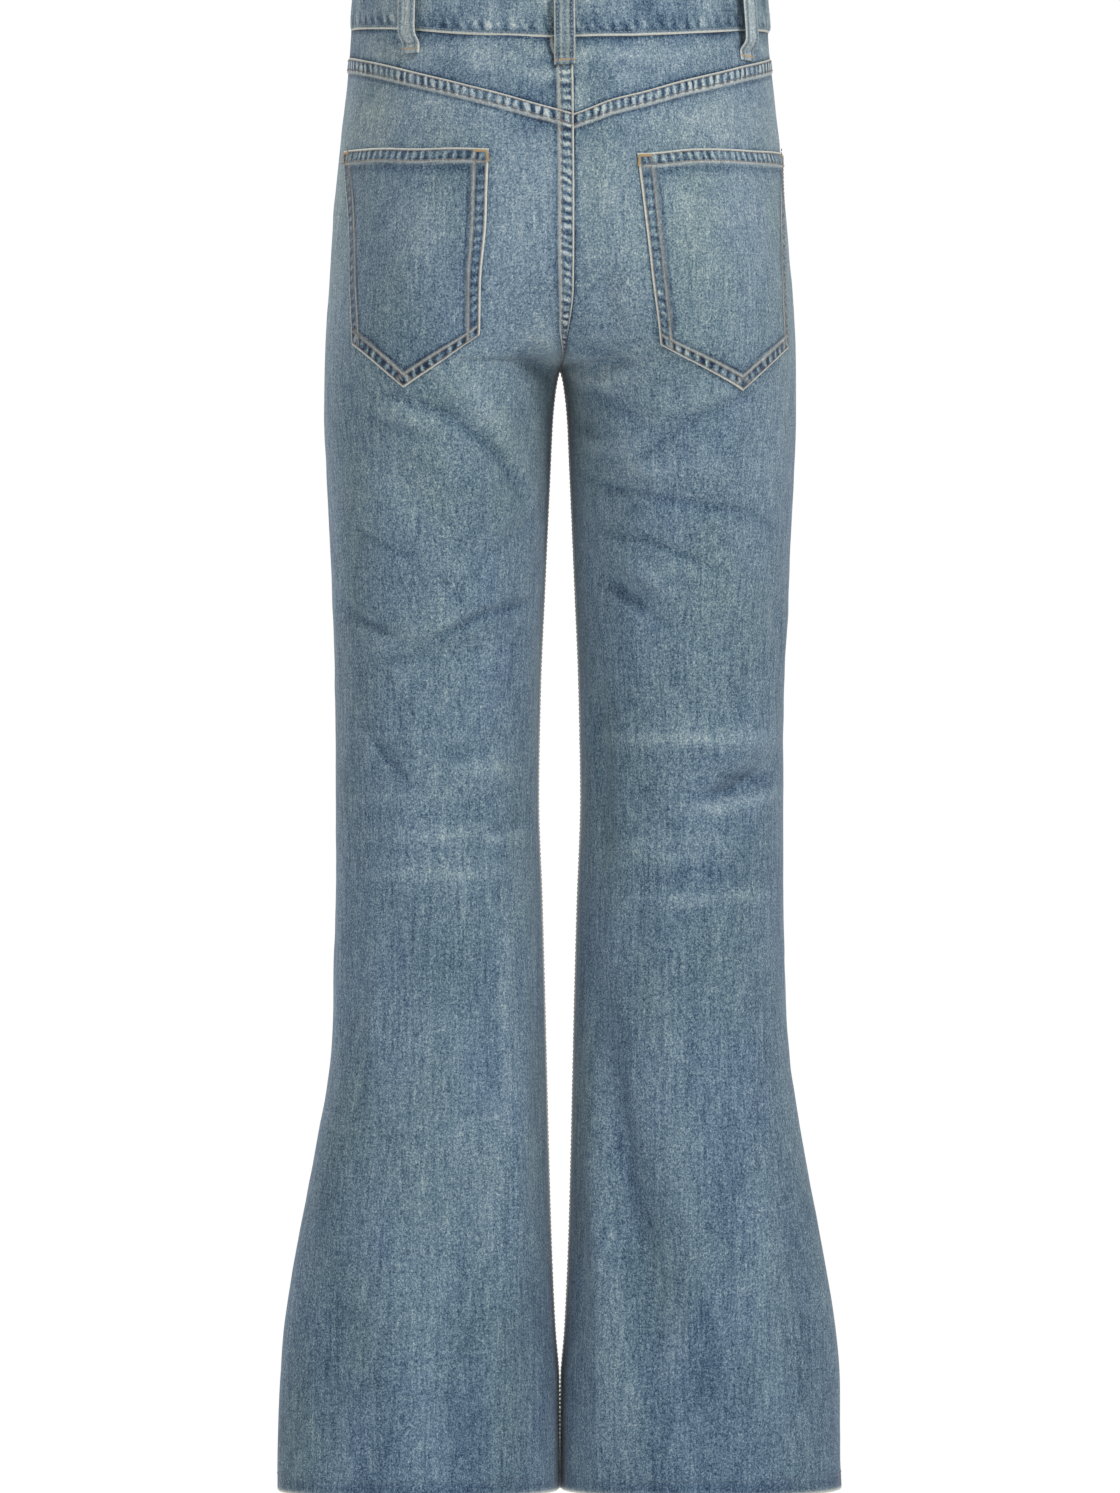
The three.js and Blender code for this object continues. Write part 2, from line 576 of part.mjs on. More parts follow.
// A strap of folded denim that stands off the band between its two sewn ends
function loopGeometry({ around, bottom, clear }) {
  const top = waistSeam(ringTurn(around)) + waistband.height - beltLoop.drop;
  const half = beltLoop.wall / 2;
  const onBand = waistband.proud + 2 * seamGap + half;
  const onCloth = clear + half;
  const away = waistband.proud + beltLoop.stand + half;
  const { seat, rise, bow } = beltLoop;
  const route = [
    [top, onBand], [top - seat, onBand], [top - seat - rise / 2, lerp(onBand, away, bow)],
    [top - seat - rise, away], [lerp(top, bottom, 0.5), away + beltLoop.arch], [bottom + seat + rise, away],
    [bottom + seat + rise / 2, lerp(onCloth, away, bow)], [bottom + seat, onCloth], [bottom, onCloth],
  ];
  const centres = route.map(([height, proud]) => ringPair(around, height, proud, 0)[0]);
  const step = beltLoop.width / 2 / (meanRadius(bottom) * seamAngle(bottom));
  const [east] = ringPair(around - step, bottom, 0, 0);
  const [west] = ringPair(around + step, bottom, 0, 0);
  const sideways = east.sub(west).setZ(0).normalize();
  const pairs = centres.map((centre, i) => {
    const run = centres[Math.min(i + 1, centres.length - 1)].clone().sub(centres[Math.max(i - 1, 0)]);
    const thick = run.cross(sideways).normalize();
    return [-1, 1].map((side) => {
      const edge = centre.clone().addScaledVector(sideways, (side * beltLoop.width) / 2);
      return [half, -half].map((offset) => edge.clone().addScaledVector(thick, offset));
    });
  });
  return wallGeometry(pairs);
}

function flyShieldGeometry() {
  const top = waistSeam(-1) - flyShield.drop;
  const pairs = evenly(shieldRows).map((down) => evenly(shieldColumns).map((s) => {
    const around = lerp(flyShield.from, flyShield.to, s);
    return ringPair(around, lerp(top, flyShield.bottom, down), flyShield.outer, denim);
  }));
  return wallGeometry(pairs);
}

// The closed zip: its chain, with the wider slider at the top
function zipGeometry() {
  const top = waistSeam(-1) - zip.drop;
  const stops = [0, zip.sliderHeight, zip.sliderHeight + zip.shoulder, ...zip.bends, top - zip.bottom];
  const pairs = stops.map((down, i) => {
    const extra = i < 2 ? (zip.sliderWidth - zip.width) / 2 : 0;
    const perTurn = meanRadius(top) * seamAngle(top);
    const turns = [zip.from - extra / perTurn, zip.from + (zip.width + extra) / perTurn];
    return turns.map((around) => ringPair(around, top - down, zip.outer, zip.wall));
  });
  return wallGeometry(pairs);
}

function solidOf(wasm, geometry) {
  const bare = geometry.clone();
  bare.deleteAttribute("normal");
  bare.deleteAttribute("uv");
  const merged = mergeVertices(bare);
  return new wasm.Manifold(new wasm.Mesh({
    numProp: 3,
    vertProperties: merged.getAttribute("position").array,
    triVerts: new Uint32Array(merged.getIndex().array),
  }));
}

function geometryOf(solid) {
  const mesh = solid.getMesh();
  const geometry = new THREE.BufferGeometry();
  geometry.setAttribute("position", new THREE.BufferAttribute(new Float32Array(mesh.vertProperties), 3));
  geometry.setIndex(new THREE.BufferAttribute(new Uint32Array(mesh.triVerts), 1));
  geometry.computeVertexNormals();
  return geometry;
}

const wasm = await Module();
wasm.setup();

const denimColours = { panel: 0x5f7382, waist: 0x5a6d7c, pocket: 0x64788a, inside: 0x8d979c };
const denimMaterial = (color) => new THREE.MeshStandardMaterial({ color, roughness: 0.92, metalness: 0 });
const brassColour = 0xa27b45;
const brassMaterial = () => (
  new THREE.MeshStandardMaterial({ color: brassColour, roughness: 0.38, metalness: 0.9 })
);

const jeans = new THREE.Group();
function addPiece(name, geometry, material) {
  const mesh = new THREE.Mesh(geometry, material);
  mesh.name = name;
  jeans.add(mesh);
}

for (const leg of ["left", "right"]) {
  addPiece(`front_leg_${leg}`, frontLeg(leg), denimMaterial(denimColours.panel));
  addPiece(`back_leg_${leg}`, backLeg(leg), denimMaterial(denimColours.panel));
  addPiece(`back_yoke_${leg}`, backYoke(leg), denimMaterial(denimColours.panel));
  addPiece(`back_pocket_${leg}`, backPocket(leg), denimMaterial(denimColours.pocket));
  addPiece(`pocket_facing_${leg}`, pocketFacing(leg), denimMaterial(denimColours.inside));
}
const cutBand = solidOf(wasm, waistbandGeometry()).subtract(solidOf(wasm, buttonholeCutter()));
addPiece("waistband", geometryOf(cutBand), denimMaterial(denimColours.waist));
for (const place of loopPlaces) {
  addPiece(place.name, loopGeometry(place), denimMaterial(denimColours.waist));
}
addPiece("fly_shield", flyShieldGeometry(), denimMaterial(denimColours.inside));
addPiece("zip", zipGeometry(), brassMaterial());
addPiece("waist_button", buttonGeometry(), brassMaterial());

export default jeans;
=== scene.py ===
# Flared denim jeans filled out as worn. The wearer's left is +X and the front faces -Y.
# The tables and the surface are in millimetres, and meshes are made in metres.
import math

import bmesh
import bpy
import numpy as np
from mathutils import Matrix, Vector


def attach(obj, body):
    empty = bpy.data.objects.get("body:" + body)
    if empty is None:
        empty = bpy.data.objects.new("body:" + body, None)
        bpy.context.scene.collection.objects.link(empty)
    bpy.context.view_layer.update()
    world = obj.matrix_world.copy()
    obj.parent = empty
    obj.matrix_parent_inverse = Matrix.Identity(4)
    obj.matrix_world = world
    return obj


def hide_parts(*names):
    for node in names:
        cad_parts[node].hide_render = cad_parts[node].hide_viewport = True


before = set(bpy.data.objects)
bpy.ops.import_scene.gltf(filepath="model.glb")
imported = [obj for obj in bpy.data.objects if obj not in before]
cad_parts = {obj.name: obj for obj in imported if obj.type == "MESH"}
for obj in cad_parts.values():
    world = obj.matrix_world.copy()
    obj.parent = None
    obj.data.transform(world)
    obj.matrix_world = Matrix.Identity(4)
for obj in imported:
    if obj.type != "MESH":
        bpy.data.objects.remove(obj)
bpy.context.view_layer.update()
metre = 0.001

# ---- the body's form

denim = 1.5
crotchHeight = -263.0
hemHeight = -1077.0
sideSeamTurn = -0.08
seamOffset = 0.0002
waistband = {"height": 40.0, "wall": 3.0, "proud": 1.0, "side": -20.0, "backDip": 14.0, "frontDip": 18.0}
yoke = {"side": -39.0, "drop": 50.5, "bend": 1.55}
seatBridge = {"reach": 22.0, "soft": 0.35}
fly = {"step": 1.65, "reach": 0.28, "top": -172.0, "bottom": -200.0}
mouth = {"turn": -0.48, "side": -95.0}
facing = {"inner": -0.64, "bottom": -132.0, "recess": 2.4, "wall": 1.3, "width": 110.0}
bandWidth = 10.0
bandRaise = 0.8

# height, outer, inner, back, front, side
levels = np.array([
    [24, 150, -150, 103, -97, 0],
    [-20, 151, -148, 108, -102, 0],
    [-60, 154.5, -132, 117, -107, 1],
    [-110, 160, -110, 127, -111, 2],
    [-150, 164, -92, 133, -113, 3],
    [-190, 167, -67, 134, -113, 4],
    [-220, 169, -40, 129, -112, 4],
    [-243, 170.5, -15, 123, -110, 4],
    [-256, 171, -3.5, 119, -108, 4],
    [-263, 171.2, 0, 117, -107, 4],
    [-275, 171.4, 3.2, 113, -105, 4],
    [-300, 171.6, 6, 106, -102, 3],
    [-345, 170, 8.2, 96, -98, 1],
    [-420, 166, 11.5, 84, -91, -2],
    [-500, 163.8, 14.8, 73, -84, -5],
    [-575, 163.4, 16, 66, -79, -6],
    [-650, 163, 13.5, 63, -76, -6],
    [-720, 164, 11.6, 64, -73, -5],
    [-770, 168, 10.4, 65, -71, -4],
    [-830, 178, 9, 67, -69, -2],
    [-900, 190.5, 7, 68, -68, 0],
    [-960, 200, 4.2, 69, -68, 0],
    [-1000, 203, 1.2, 70, -68, 0],
    [-1077, 205, 0.7, 71, -69, 0],
])

# Folds: turn round the leg, height, lean in degrees, reach along and across, rise outwards
folds = {
    "left": [
        (0.85, -218, -52, 40, 11, -3), (0.54, -341, -40, 65, 15, 3.5), (0.47, -372, -38, 50, 12, -2.5),
        (0.15, -437, -30, 22, 9, -3), (0.5, -450, 16, 55, 14, 4), (0.55, -474, 12, 50, 12, -3),
        (0.41, -556, 84, 60, 15, 3), (0.76, -828, 87, 130, 13, 4.5), (0.6, -830, 88, 140, 14, -3.5),
        (0.4, -930, 95, 110, 18, 3), (-0.5, -300, 24, 60, 12, -3), (-0.45, -545, -14, 50, 14, -4),
        (-0.6, -610, 18, 45, 13, 3.5), (-0.62, -880, 93, 130, 15, -4.5), (-0.38, -920, 88, 120, 17, 4),
    ],
    "right": [
        (0.87, -220, -55, 36, 10, -2.5), (0.5, -345, -34, 60, 15, 3), (0.72, -424, 27, 38, 10, -4.5),
        (0.16, -447, 59, 18, 8, -3), (0.4, -540, -18, 45, 17, 5), (0.31, -567, -28, 46, 10, -6.5),
        (0.81, -564, 88, 55, 10, -4), (0.66, -881, 78, 165, 17, -6.5), (0.78, -950, 87, 120, 13, 4.5),
        (0.36, -900, 97, 120, 20, 3.5), (-0.5, -310, 28, 55, 12, -3), (-0.5, -560, 12, 50, 14, -4),
        (-0.58, -625, -16, 45, 13, 3.5), (-0.56, -870, 86, 130, 16, -5), (-0.34, -930, 92, 110, 17, 3.5),
    ],
}

# Smaller creases in the cloth, in the same terms
creases = {
    "left": [
        (0.43, -295, -15, 35, 4.5, -2.4), (0.60, -317, -31, 37, 5, -3.2), (0.73, -348, -45, 28, 5, -2.4),
        (0.35, -309, -22, 27, 4.5, -2), (0.79, -266, -12, 32, 5, -2.4), (0.33, -394, -24, 28, 4.5, -1.7),
        (0.52, -424, -40, 17, 4.5, -1.5), (0.56, -452, 26, 24, 4.2, -2.8), (0.72, -439, 11, 30, 4.2, -2.6),
        (0.28, -451, -23, 35, 4.5, -2.6), (0.39, -475, 1, 21, 4.5, -1.6), (0.33, -544, -47, 34, 4.5, -1.8),
        (0.76, -384, 23, 23, 5, -1.5), (0.64, -576, 13, 40, 4.5, -1.4), (0.68, -599, 15, 33, 4.5, -1.5),
        (0.63, -539, 19, 27, 5, -1.2), (0.41, -303, -18, 29, 6, 2), (0.57, -288, -31, 36, 8, 2.2),
        (0.71, -322, -46, 38, 7, 2.4), (0.89, -249, -19, 37, 5, 2.4), (0.43, -456, 19, 35, 5, 2.2),
        (0.29, -461, -20, 22, 5, 1.6), (0.37, -490, -49, 17, 5, 1.5), (0.67, -552, 14, 26, 5, 1.2),
        (0.62, -603, -1, 51, 5, 1), (0.48, -630, -1, 62, 5, 0.9), (0.71, -738, -92, 77, 6, 2.2),
        (0.66, -868, -94, 77, 9, 1.4), (0.65, -744, -92, 45, 6, -1.4), (0.29, -714, -92, 49, 8, 1.4),
        (0.61, -975, -89, 86, 12, -1.2), (0.49, -964, -90, 98, 12, 1.2), (0.28, -975, -92, 86, 11, -1.4),
        (-0.30, -250, 24, 34, 4.8, -2), (-0.70, -268, 34, 26, 4, -2.5), (-0.82, -292, 44, 24, 4, 2.25),
        (-0.88, -276, 40, 22, 4, -2.5), (-0.60, -330, 20, 40, 5.6, 2.25), (-0.35, -520, -10, 30, 4.8, 2.25),
        (-0.55, -575, 8, 34, 4.8, -2.75), (-0.40, -640, 12, 28, 4.8, -2), (-0.75, -720, 88, 60, 6.4, 2.25),
        (-0.50, -800, 90, 70, 6.4, 2.25), (-0.20, -860, 94, 70, 7.2, -2.25), (-0.75, -980, 88, 60, 6.4, -2),
    ],
    "right": [
        (0.77, -260, -166, 30, 5, -2.6), (0.72, -294, -157, 33, 7, -1.8), (0.40, -295, -22, 32, 5, -2),
        (0.56, -318, -28, 32, 5, -1.8), (0.77, -350, -162, 22, 4.5, -2.4), (0.66, -357, -167, 20, 4.5, -2.4),
        (0.44, -367, -173, 37, 5, -2.4), (0.28, -376, -164, 27, 5, -1.6), (0.67, -390, -168, 29, 4.2, -2.2),
        (0.50, -404, -159, 32, 4.2, -2.2), (0.70, -431, -147, 36, 5, -2.6), (0.40, -571, 172, 21, 4.5, -2.6),
        (0.30, -561, -179, 33, 5, -2.8), (0.60, -586, -123, 29, 5, -1.2), (0.75, -603, 172, 15, 5, -1.2),
        (0.45, -624, -174, 24, 5, -1.2), (0.82, -311, -158, 18, 5, -1.6), (0.82, -274, -170, 28, 5, 2.6),
        (0.68, -272, 164, 26, 5, 2.4), (0.77, -321, -171, 29, 5, 2.2), (0.66, -321, 166, 16, 5, 1.4),
        (0.50, -292, 168, 42, 8, 2), (0.63, -342, -170, 20, 6, 2), (0.45, -342, -178, 63, 8, 1),
        (0.65, -414, -152, 25, 6, 2), (0.43, -582, -176, 19, 4.5, 2.8), (0.28, -576, 169, 30, 4.5, 2.6),
        (0.41, -606, -128, 14, 5, 1.5), (0.54, -532, 179, 64, 5, 1.3), (0.60, -616, -164, 31, 5, 1.4),
        (0.46, -647, 178, 61, 5, 1.2), (0.31, -530, -163, 17, 5, 1.4), (0.71, -788, -96, 62, 9, -0.9),
        (0.67, -881, -97, 56, 10, -1.5), (0.63, -983, -95, 71, 10, -2), (0.80, -880, -100, 59, 9, 0.9),
        (0.72, -989, -101, 78, 12, 1.9), (0.55, -818, -92, 98, 12, 1.2), (0.51, -985, -91, 74, 12, -1.2),
        (0.34, -944, -89, 98, 12, 1.4), (-0.32, -255, 22, 32, 4.8, -2), (-0.68, -272, 32, 26, 4, -2.5),
        (-0.84, -296, 42, 22, 4, 2.25), (-0.88, -280, 44, 22, 4, -2.5), (-0.60, -338, 20, 38, 5.6, 2.25),
        (-0.36, -535, 8, 30, 4.8, 2.25), (-0.55, -590, -8, 34, 4.8, -2.75), (-0.42, -650, -12, 28, 4.8, -2),
        (-0.72, -730, 90, 60, 6.4, 2.25), (-0.48, -810, 88, 70, 6.4, 2.25), (-0.20, -870, 96, 70, 7.2, -2.25),
        (-0.74, -990, 86, 60, 6.4, -2),
    ],
}

# Washed places, and painted shade down the outer sides: turn, height, reach around and up in mm, and how much paler or
# darker
washesAndShade = {
    "left": [
        (0.82, -150, 22, 45, 0.03), (0.45, -590, 70, 50, 0.03), (0.92, -98, 24, 9, -0.12),
        (0.5, -80, 60, 8, 0.06), (0.1, -500, 18, 260, -0.04),
        (0.45, -800, 45, 160, 0.02), (0.9, -450, 24, 200, 0.05), (0.2, -900, 30, 150, -0.03),
        (-0.5, -420, 70, 160, 0.07), (-0.5, -570, 55, 60, 0.06),
    ],
    "right": [
        (0.42, -545, 55, 30, 0.02), (0.9, -102, 34, 10, -0.1), (0.6, -93, 50, 9, 0.06),
        (0.1, -500, 18, 260, -0.06), (0.85, -900, 28, 160, 0.05),
        (0.85, -450, 40, 200, 0.04), (0.2, -900, 30, 150, -0.04), (0.3, -90, 50, 40, 0.05),
        (-0.5, -420, 70, 160, 0.07), (-0.5, -570, 55, 60, 0.06),
    ],
}
washByHeight = [(-1077, -0.11), (-1000, -0.1), (-850, -0.07), (-700, -0.06), (-560, -0.05),
                (-420, -0.03), (-300, 0.0), (-230, 0.06), (-150, 0.11), (-90, 0.1), (-20, 0.1)]

# Pale lines left across the backs of the knees: leg, turn, height, reach around, reach up, amount
kneeLines = [
    ("left", 0.35, -530, 50, 3, 0.07), ("left", 0.67, -553, 32, 4, 0.08), ("left", 0.3, -575, 40, 3, 0.08),
    ("left", 0.62, -603, 50, 4, 0.09), ("left", 0.4, -618, 40, 3, 0.05), ("left", 0.48, -630, 60, 4, 0.1),
    ("left", 0.5, -588, 60, 3, -0.06), ("left", 0.55, -615, 50, 3, -0.05),
    ("right", 0.54, -532, 64, 4, 0.12), ("right", 0.55, -546, 60, 5, -0.05), ("right", 0.5, -606, 40, 4, 0.07),
    ("right", 0.55, -617, 34, 4, 0.09), ("right", 0.46, -647, 60, 4, 0.11), ("right", 0.5, -632, 60, 4, -0.06),
]

# Corners of the back pockets as worn: turn round the leg and height
pocketCorners = {
    "left": {"outerTop": (0.15, -110), "innerTop": (0.765, -115), "innerBottom": (0.672, -246),
             "tip": (0.392, -283), "outerBottom": (0.25, -251.5)},
    "right": {"outerTop": (0.085, -109.5), "innerTop": (0.788, -117.5), "innerBottom": (0.63, -253),
              "tip": (0.35, -284), "outerBottom": (0.175, -253)},
}
pocket = {"tipAt": 0.4, "band": 9.5, "edge": 8.6, "lift": 0.25, "wall": 1.2, "puff": 1.3, "radius": 118.0}

loops = [
    {"name": "belt_loop_centre_back", "around": 1.995, "bottom": -54, "clear": 1.3, "lean": 0.0},
    {"name": "belt_loop_back_left", "around": 1.49, "bottom": -43.5, "clear": 0.7, "lean": 0.0},
    {"name": "belt_loop_back_right", "around": 2.64, "bottom": -45.5, "clear": 0.7, "lean": 0.02},
    {"name": "belt_loop_front_left", "around": 0.47, "bottom": -46, "clear": 0.7, "lean": 0.0},
    {"name": "belt_loop_front_right", "around": 3.53, "bottom": -46, "clear": 0.7, "lean": 0.0},
]
loopStrap = {"width": 15.0, "wall": 1.6, "stand": 5.8, "seat": 7.0, "rise": 9.0}
bandEnds = {"under": 4.18, "over": -0.01, "lap": 0.95}
button = {"around": 0.085, "head": 8.5, "rim": 7.4, "headHeight": 2.8, "shank": 2.5, "crown": 0.5}
buttonhole = {"length": 23.0, "width": 8.6}
centreShift = {"amount": 5.0, "reach": 28.0}
wanderBy = 1.1
relief = 1.15


def lerp(a, b, share):
    return a + (b - a) * share


def smooth(share):
    s = np.clip(share, 0, 1)
    return s * s * (3 - 2 * s)


def ridge(distance, at, width):
    return np.exp(-(((distance - at) / width) ** 2))


# Slopes of a curve through the levels that never overshoots them
def curveSlopes(values):
    steps = np.diff(values) / np.diff(levels[:, 0])
    slopes = np.zeros(len(values))
    slopes[0], slopes[-1] = steps[0], steps[-1]
    product = steps[:-1] * steps[1:]
    total = steps[:-1] + steps[1:]
    slopes[1:-1] = np.where(product > 0, 2 * product / np.where(product > 0, total, 1), 0)
    return slopes


levelSlopes = np.stack([curveSlopes(levels[:, k]) for k in range(1, 6)], axis=1)


def sectionAt(height):
    height = np.asarray(height, float)
    i = np.clip(np.searchsorted(-levels[:, 0], -height), 1, len(levels) - 1)
    above, below = levels[i - 1], levels[i]
    span = below[..., 0] - above[..., 0]
    t = (height - above[..., 0]) / span
    t, span = t[..., None], span[..., None]
    return ((2 * t ** 3 - 3 * t ** 2 + 1) * above[..., 1:] + (3 * t ** 2 - 2 * t ** 3) * below[..., 1:]
            + (t ** 3 - 2 * t ** 2 + t) * span * levelSlopes[i - 1] + (t ** 3 - t ** 2) * span * levelSlopes[i])


def splitOf(section):
    outer, inner = section[..., 0], section[..., 1]
    return np.minimum((outer + inner) / (outer - inner), 1)


def seamAngle(height):
    return np.arccos(-splitOf(sectionAt(height)))


def meanRadius(height):
    section = sectionAt(height)
    return np.hypot(section[..., 0] - section[..., 1], section[..., 2] - section[..., 3]) / math.sqrt(8)


# A straight line laid on the cloth between two places, each a turn and a height
def between(start, end, share):
    height = lerp(start[1], end[1], share)
    angle = lerp(start[0] * seamAngle(start[1]), end[0] * seamAngle(end[1]), share)
    return np.clip(angle / seamAngle(height), -1, 1), height


# A line that looks straight from behind, between two places on the back
def seenStraight(start, end, share):
    height = lerp(start[1], end[1], share)
    x = lerp(plainPoint(*start)[..., 0], plainPoint(*end)[..., 0], share)
    section = sectionAt(height)
    outer, inner = section[..., 0], section[..., 1]
    cosine = np.clip((x - (outer + inner) / 2) * 2 / (outer - inner), -1, 1)
    return np.arccos(cosine) / seamAngle(height), height


def plainPoint(turn, height):
    turn, height = np.broadcast_arrays(np.asarray(turn, float), np.asarray(height, float))
    section = sectionAt(height)
    outer, inner, back, front, side = (section[..., k] for k in range(5))
    halfWidth = (outer - inner) / 2
    split = splitOf(section)
    angle = np.abs(turn) * np.arccos(-split)
    depth = np.where(turn >= 0, back, front) - side
    x = (outer + inner) / 2 + halfWidth * np.cos(angle)
    opening = np.sqrt(1 - split ** 2)
    slope = depth * split * opening / (halfWidth * (opening ** 2 + seatBridge["soft"] ** 2))
    y = side + depth * np.sin(angle) + seatBridge["reach"] * slope * np.exp(-x / seatBridge["reach"])
    return np.stack([x, y, height + 0 * x], axis=-1)


def wrapped(pointAt, turn, height):
    past = np.abs(turn) > 1
    under = height <= crotchHeight
    inside = np.where(past & under, turn - 2 * np.sign(turn), np.where(past, 2 * np.sign(turn) - turn, turn))
    points = pointAt(inside, height)
    points[..., 0] = np.where(past & ~under, -points[..., 0], points[..., 0])
    return points


def unit(vectors):
    return vectors / np.maximum(np.linalg.norm(vectors, axis=-1, keepdims=True), 1e-12)


def normalAt(pointAt, turn, height):
    turn, height = np.broadcast_arrays(np.asarray(turn, float), np.asarray(height, float))
    near = np.abs(height - crotchHeight) <= 1
    total = 0
    for side in (1, -1):
        level = np.where(near, crotchHeight + side, height)
        around = wrapped(pointAt, turn + 0.004, level) - wrapped(pointAt, turn - 0.004, level)
        down = wrapped(pointAt, turn, level - 0.5) - wrapped(pointAt, turn, level + 0.5)
        total = total + unit(np.cross(down, around))
    return unit(total)


def foldRise(leg, turn, height):
    under = height <= crotchHeight
    angle = turn * seamAngle(height)
    radius = meanRadius(height)
    rise = np.zeros(np.shape(turn))
    listed = [(1.0, fold) for fold in folds[leg]] + [(relief, crease) for crease in creases[leg]]
    for scale, (at, level, lean, along, across, amount) in listed:
        up = height - level
        apart = angle - at * seamAngle(level)
        sideways = radius * np.where(under, apart - 2 * np.pi * np.round(apart / (2 * np.pi)), apart)
        c, s = math.cos(math.radians(lean)), math.sin(math.radians(lean))
        a = (sideways * c + up * s) / along
        b = (up * c - sideways * s) / across
        rise += scale * amount * np.exp(-a * a - b * b)
    fade = smooth((1 - np.abs(turn)) * seamAngle(height) * radius / 30)
    return np.where(under, rise, rise * fade)


# Wear and painted shade along the creases: dark in the troughs, partly painted shade and partly darker dye, pale worn
# ridges, and uneven along their length
def creaseWearAndShade(leg, turn, height):
    radius = meanRadius(height)
    value = np.zeros(np.shape(turn))
    patchy = 0.8 + 0.45 * softNoise(plainPoint(turn, height), 26)
    for at, level, lean, along, across, amount in creases[leg]:
        up = height - level
        apart = turn * seamAngle(height) - at * seamAngle(level)
        c, s = math.cos(math.radians(lean)), math.sin(math.radians(lean))
        a = (radius * apart * c + up * s) / along
        b = (up * c - radius * apart * s) / across
        line = np.exp(-a ** 4 - (b * (1.2 if amount < 0 else 0.8)) ** 2)
        value += (0.06 if amount < 0 else 0.05) * amount * line * patchy
    return np.clip(value, -0.2, 0.14)


def flyStep(leg, turn, height):
    lap = smooth((sideSeamTurn - turn - (1 + sideSeamTurn - fly["reach"])) / fly["reach"])
    down = smooth((height - fly["bottom"]) / (fly["top"] - fly["bottom"]))
    step = (1 if leg == "left" else -1) * fly["step"] * lap * down
    return np.where(turn < 0, step, 0)


random = np.random.default_rng(23)
lattice = random.random((23, 23, 23)) * 2 - 1


# Smooth irregular values from -1 to 1, with features of about the given size
def softNoise(points, size):
    place = points / size
    cell = np.floor(place).astype(int)
    f = smooth(place - cell)
    value = 0
    for corner in range(8):
        step = np.array([corner & 1, corner >> 1 & 1, corner >> 2 & 1])
        index = (cell + step) % lattice.shape[0]
        weight = np.prod(np.where(step, f, 1 - f), axis=-1)
        value = value + weight * lattice[index[..., 0], index[..., 1], index[..., 2]]
    return value


def clothPoint(leg, turn, height):
    point = plainPoint(turn, height)
    seed = np.array([0, 0, 0]) if leg == "left" else np.array([511, 137, 83])
    uneven = 0.9 * softNoise(point + seed, np.array([34, 34, 70])) + 0.3 * softNoise(point + seed, 15)
    edge = smooth((1 - np.abs(turn)) * 8) * smooth((height - hemHeight) / 40 + 0.2)
    rise = foldRise(leg, turn, height) + flyStep(leg, turn, height) + uneven * edge
    return point + normalAt(plainPoint, turn, height) * rise[..., None]


# Every seam wanders a little, and pieces that lie on each other wander together
def wandered(points):
    x, y, z = points[..., 0], points[..., 1], points[..., 2]
    amount = wanderBy * smooth((z - hemHeight) / 40)
    moved = points.copy()
    moved[..., 0] += amount * softNoise(points + 17, 38) * smooth((y - 30) / 30) * smooth((np.abs(x) - 9) / 20)
    moved[..., 2] += amount * softNoise(points + 59, np.array([34, 60, 60])) * smooth((y + 50) / 50)
    return moved


# The seam down the seat lies a little to the wearer's right of the middle
def settled(points):
    x, y, z = points[..., 0], points[..., 1], points[..., 2]
    down = smooth((-38 - z) / 14) * smooth((z - crotchHeight) / 50) * smooth(y / 40)
    moved = wandered(points)
    moved[..., 0] -= centreShift["amount"] * np.exp(-(x / centreShift["reach"]) ** 2) * down
    return moved


def toSide(leg, points):
    placed = points.copy()
    placed[..., 0] = np.maximum(placed[..., 0], 0.03)
    if leg == "right":
        placed[..., 0] *= -1
    return settled(placed)


def onCloth(leg, turn, height, proud):
    def pointAt(t, h):
        return clothPoint(leg, t, h)

    point = clothPoint(leg, turn, height)
    normal = normalAt(pointAt, turn, height)
    ahead = toSide(leg, point + normal * np.asarray(proud)[..., None])
    if leg == "right":
        normal = normal * np.array([-1, 1, 1])
    return ahead, normal


def gridNormals(points, outward):
    normal = unit(np.cross(np.gradient(points, axis=0), np.gradient(points, axis=1)))
    return normal if np.sum(normal * outward) > 0 else -normal


def pathLengths(points, axis):
    steps = np.linalg.norm(np.diff(points, axis=axis), axis=-1)
    start = np.zeros_like(np.take(steps, [0], axis=axis))
    return np.concatenate([start, np.cumsum(steps, axis=axis)], axis=axis)


# Columns at set distances from both ends of each row, and even between them
def spread(place, rowCount, outerMarks, innerMarks, count):
    coarse = np.repeat(np.linspace(0, 1, 90)[None, :], rowCount, axis=0)
    lengths = pathLengths(plainPoint(*place(coarse)), 1)
    across, fromOuter = [], []
    for i in range(rowCount):
        total = lengths[i, -1]
        middle = np.linspace(outerMarks[-1], total - innerMarks[-1], count + 2)[1:-1]
        wanted = np.concatenate([outerMarks, middle, total - np.array(innerMarks[::-1])])
        across.append(np.interp(wanted, lengths[i], coarse[i]))
        fromOuter.append(wanted)
    turn, height = place(np.array(across))
    fromOuter = np.array(fromOuter)
    return turn, height, fromOuter, lengths[:, -1:] - fromOuter


# ---- cloth meshes

uvName = "Cloth"
traits = ("washAndShade", "band", "along", "edge", "grooveShade")


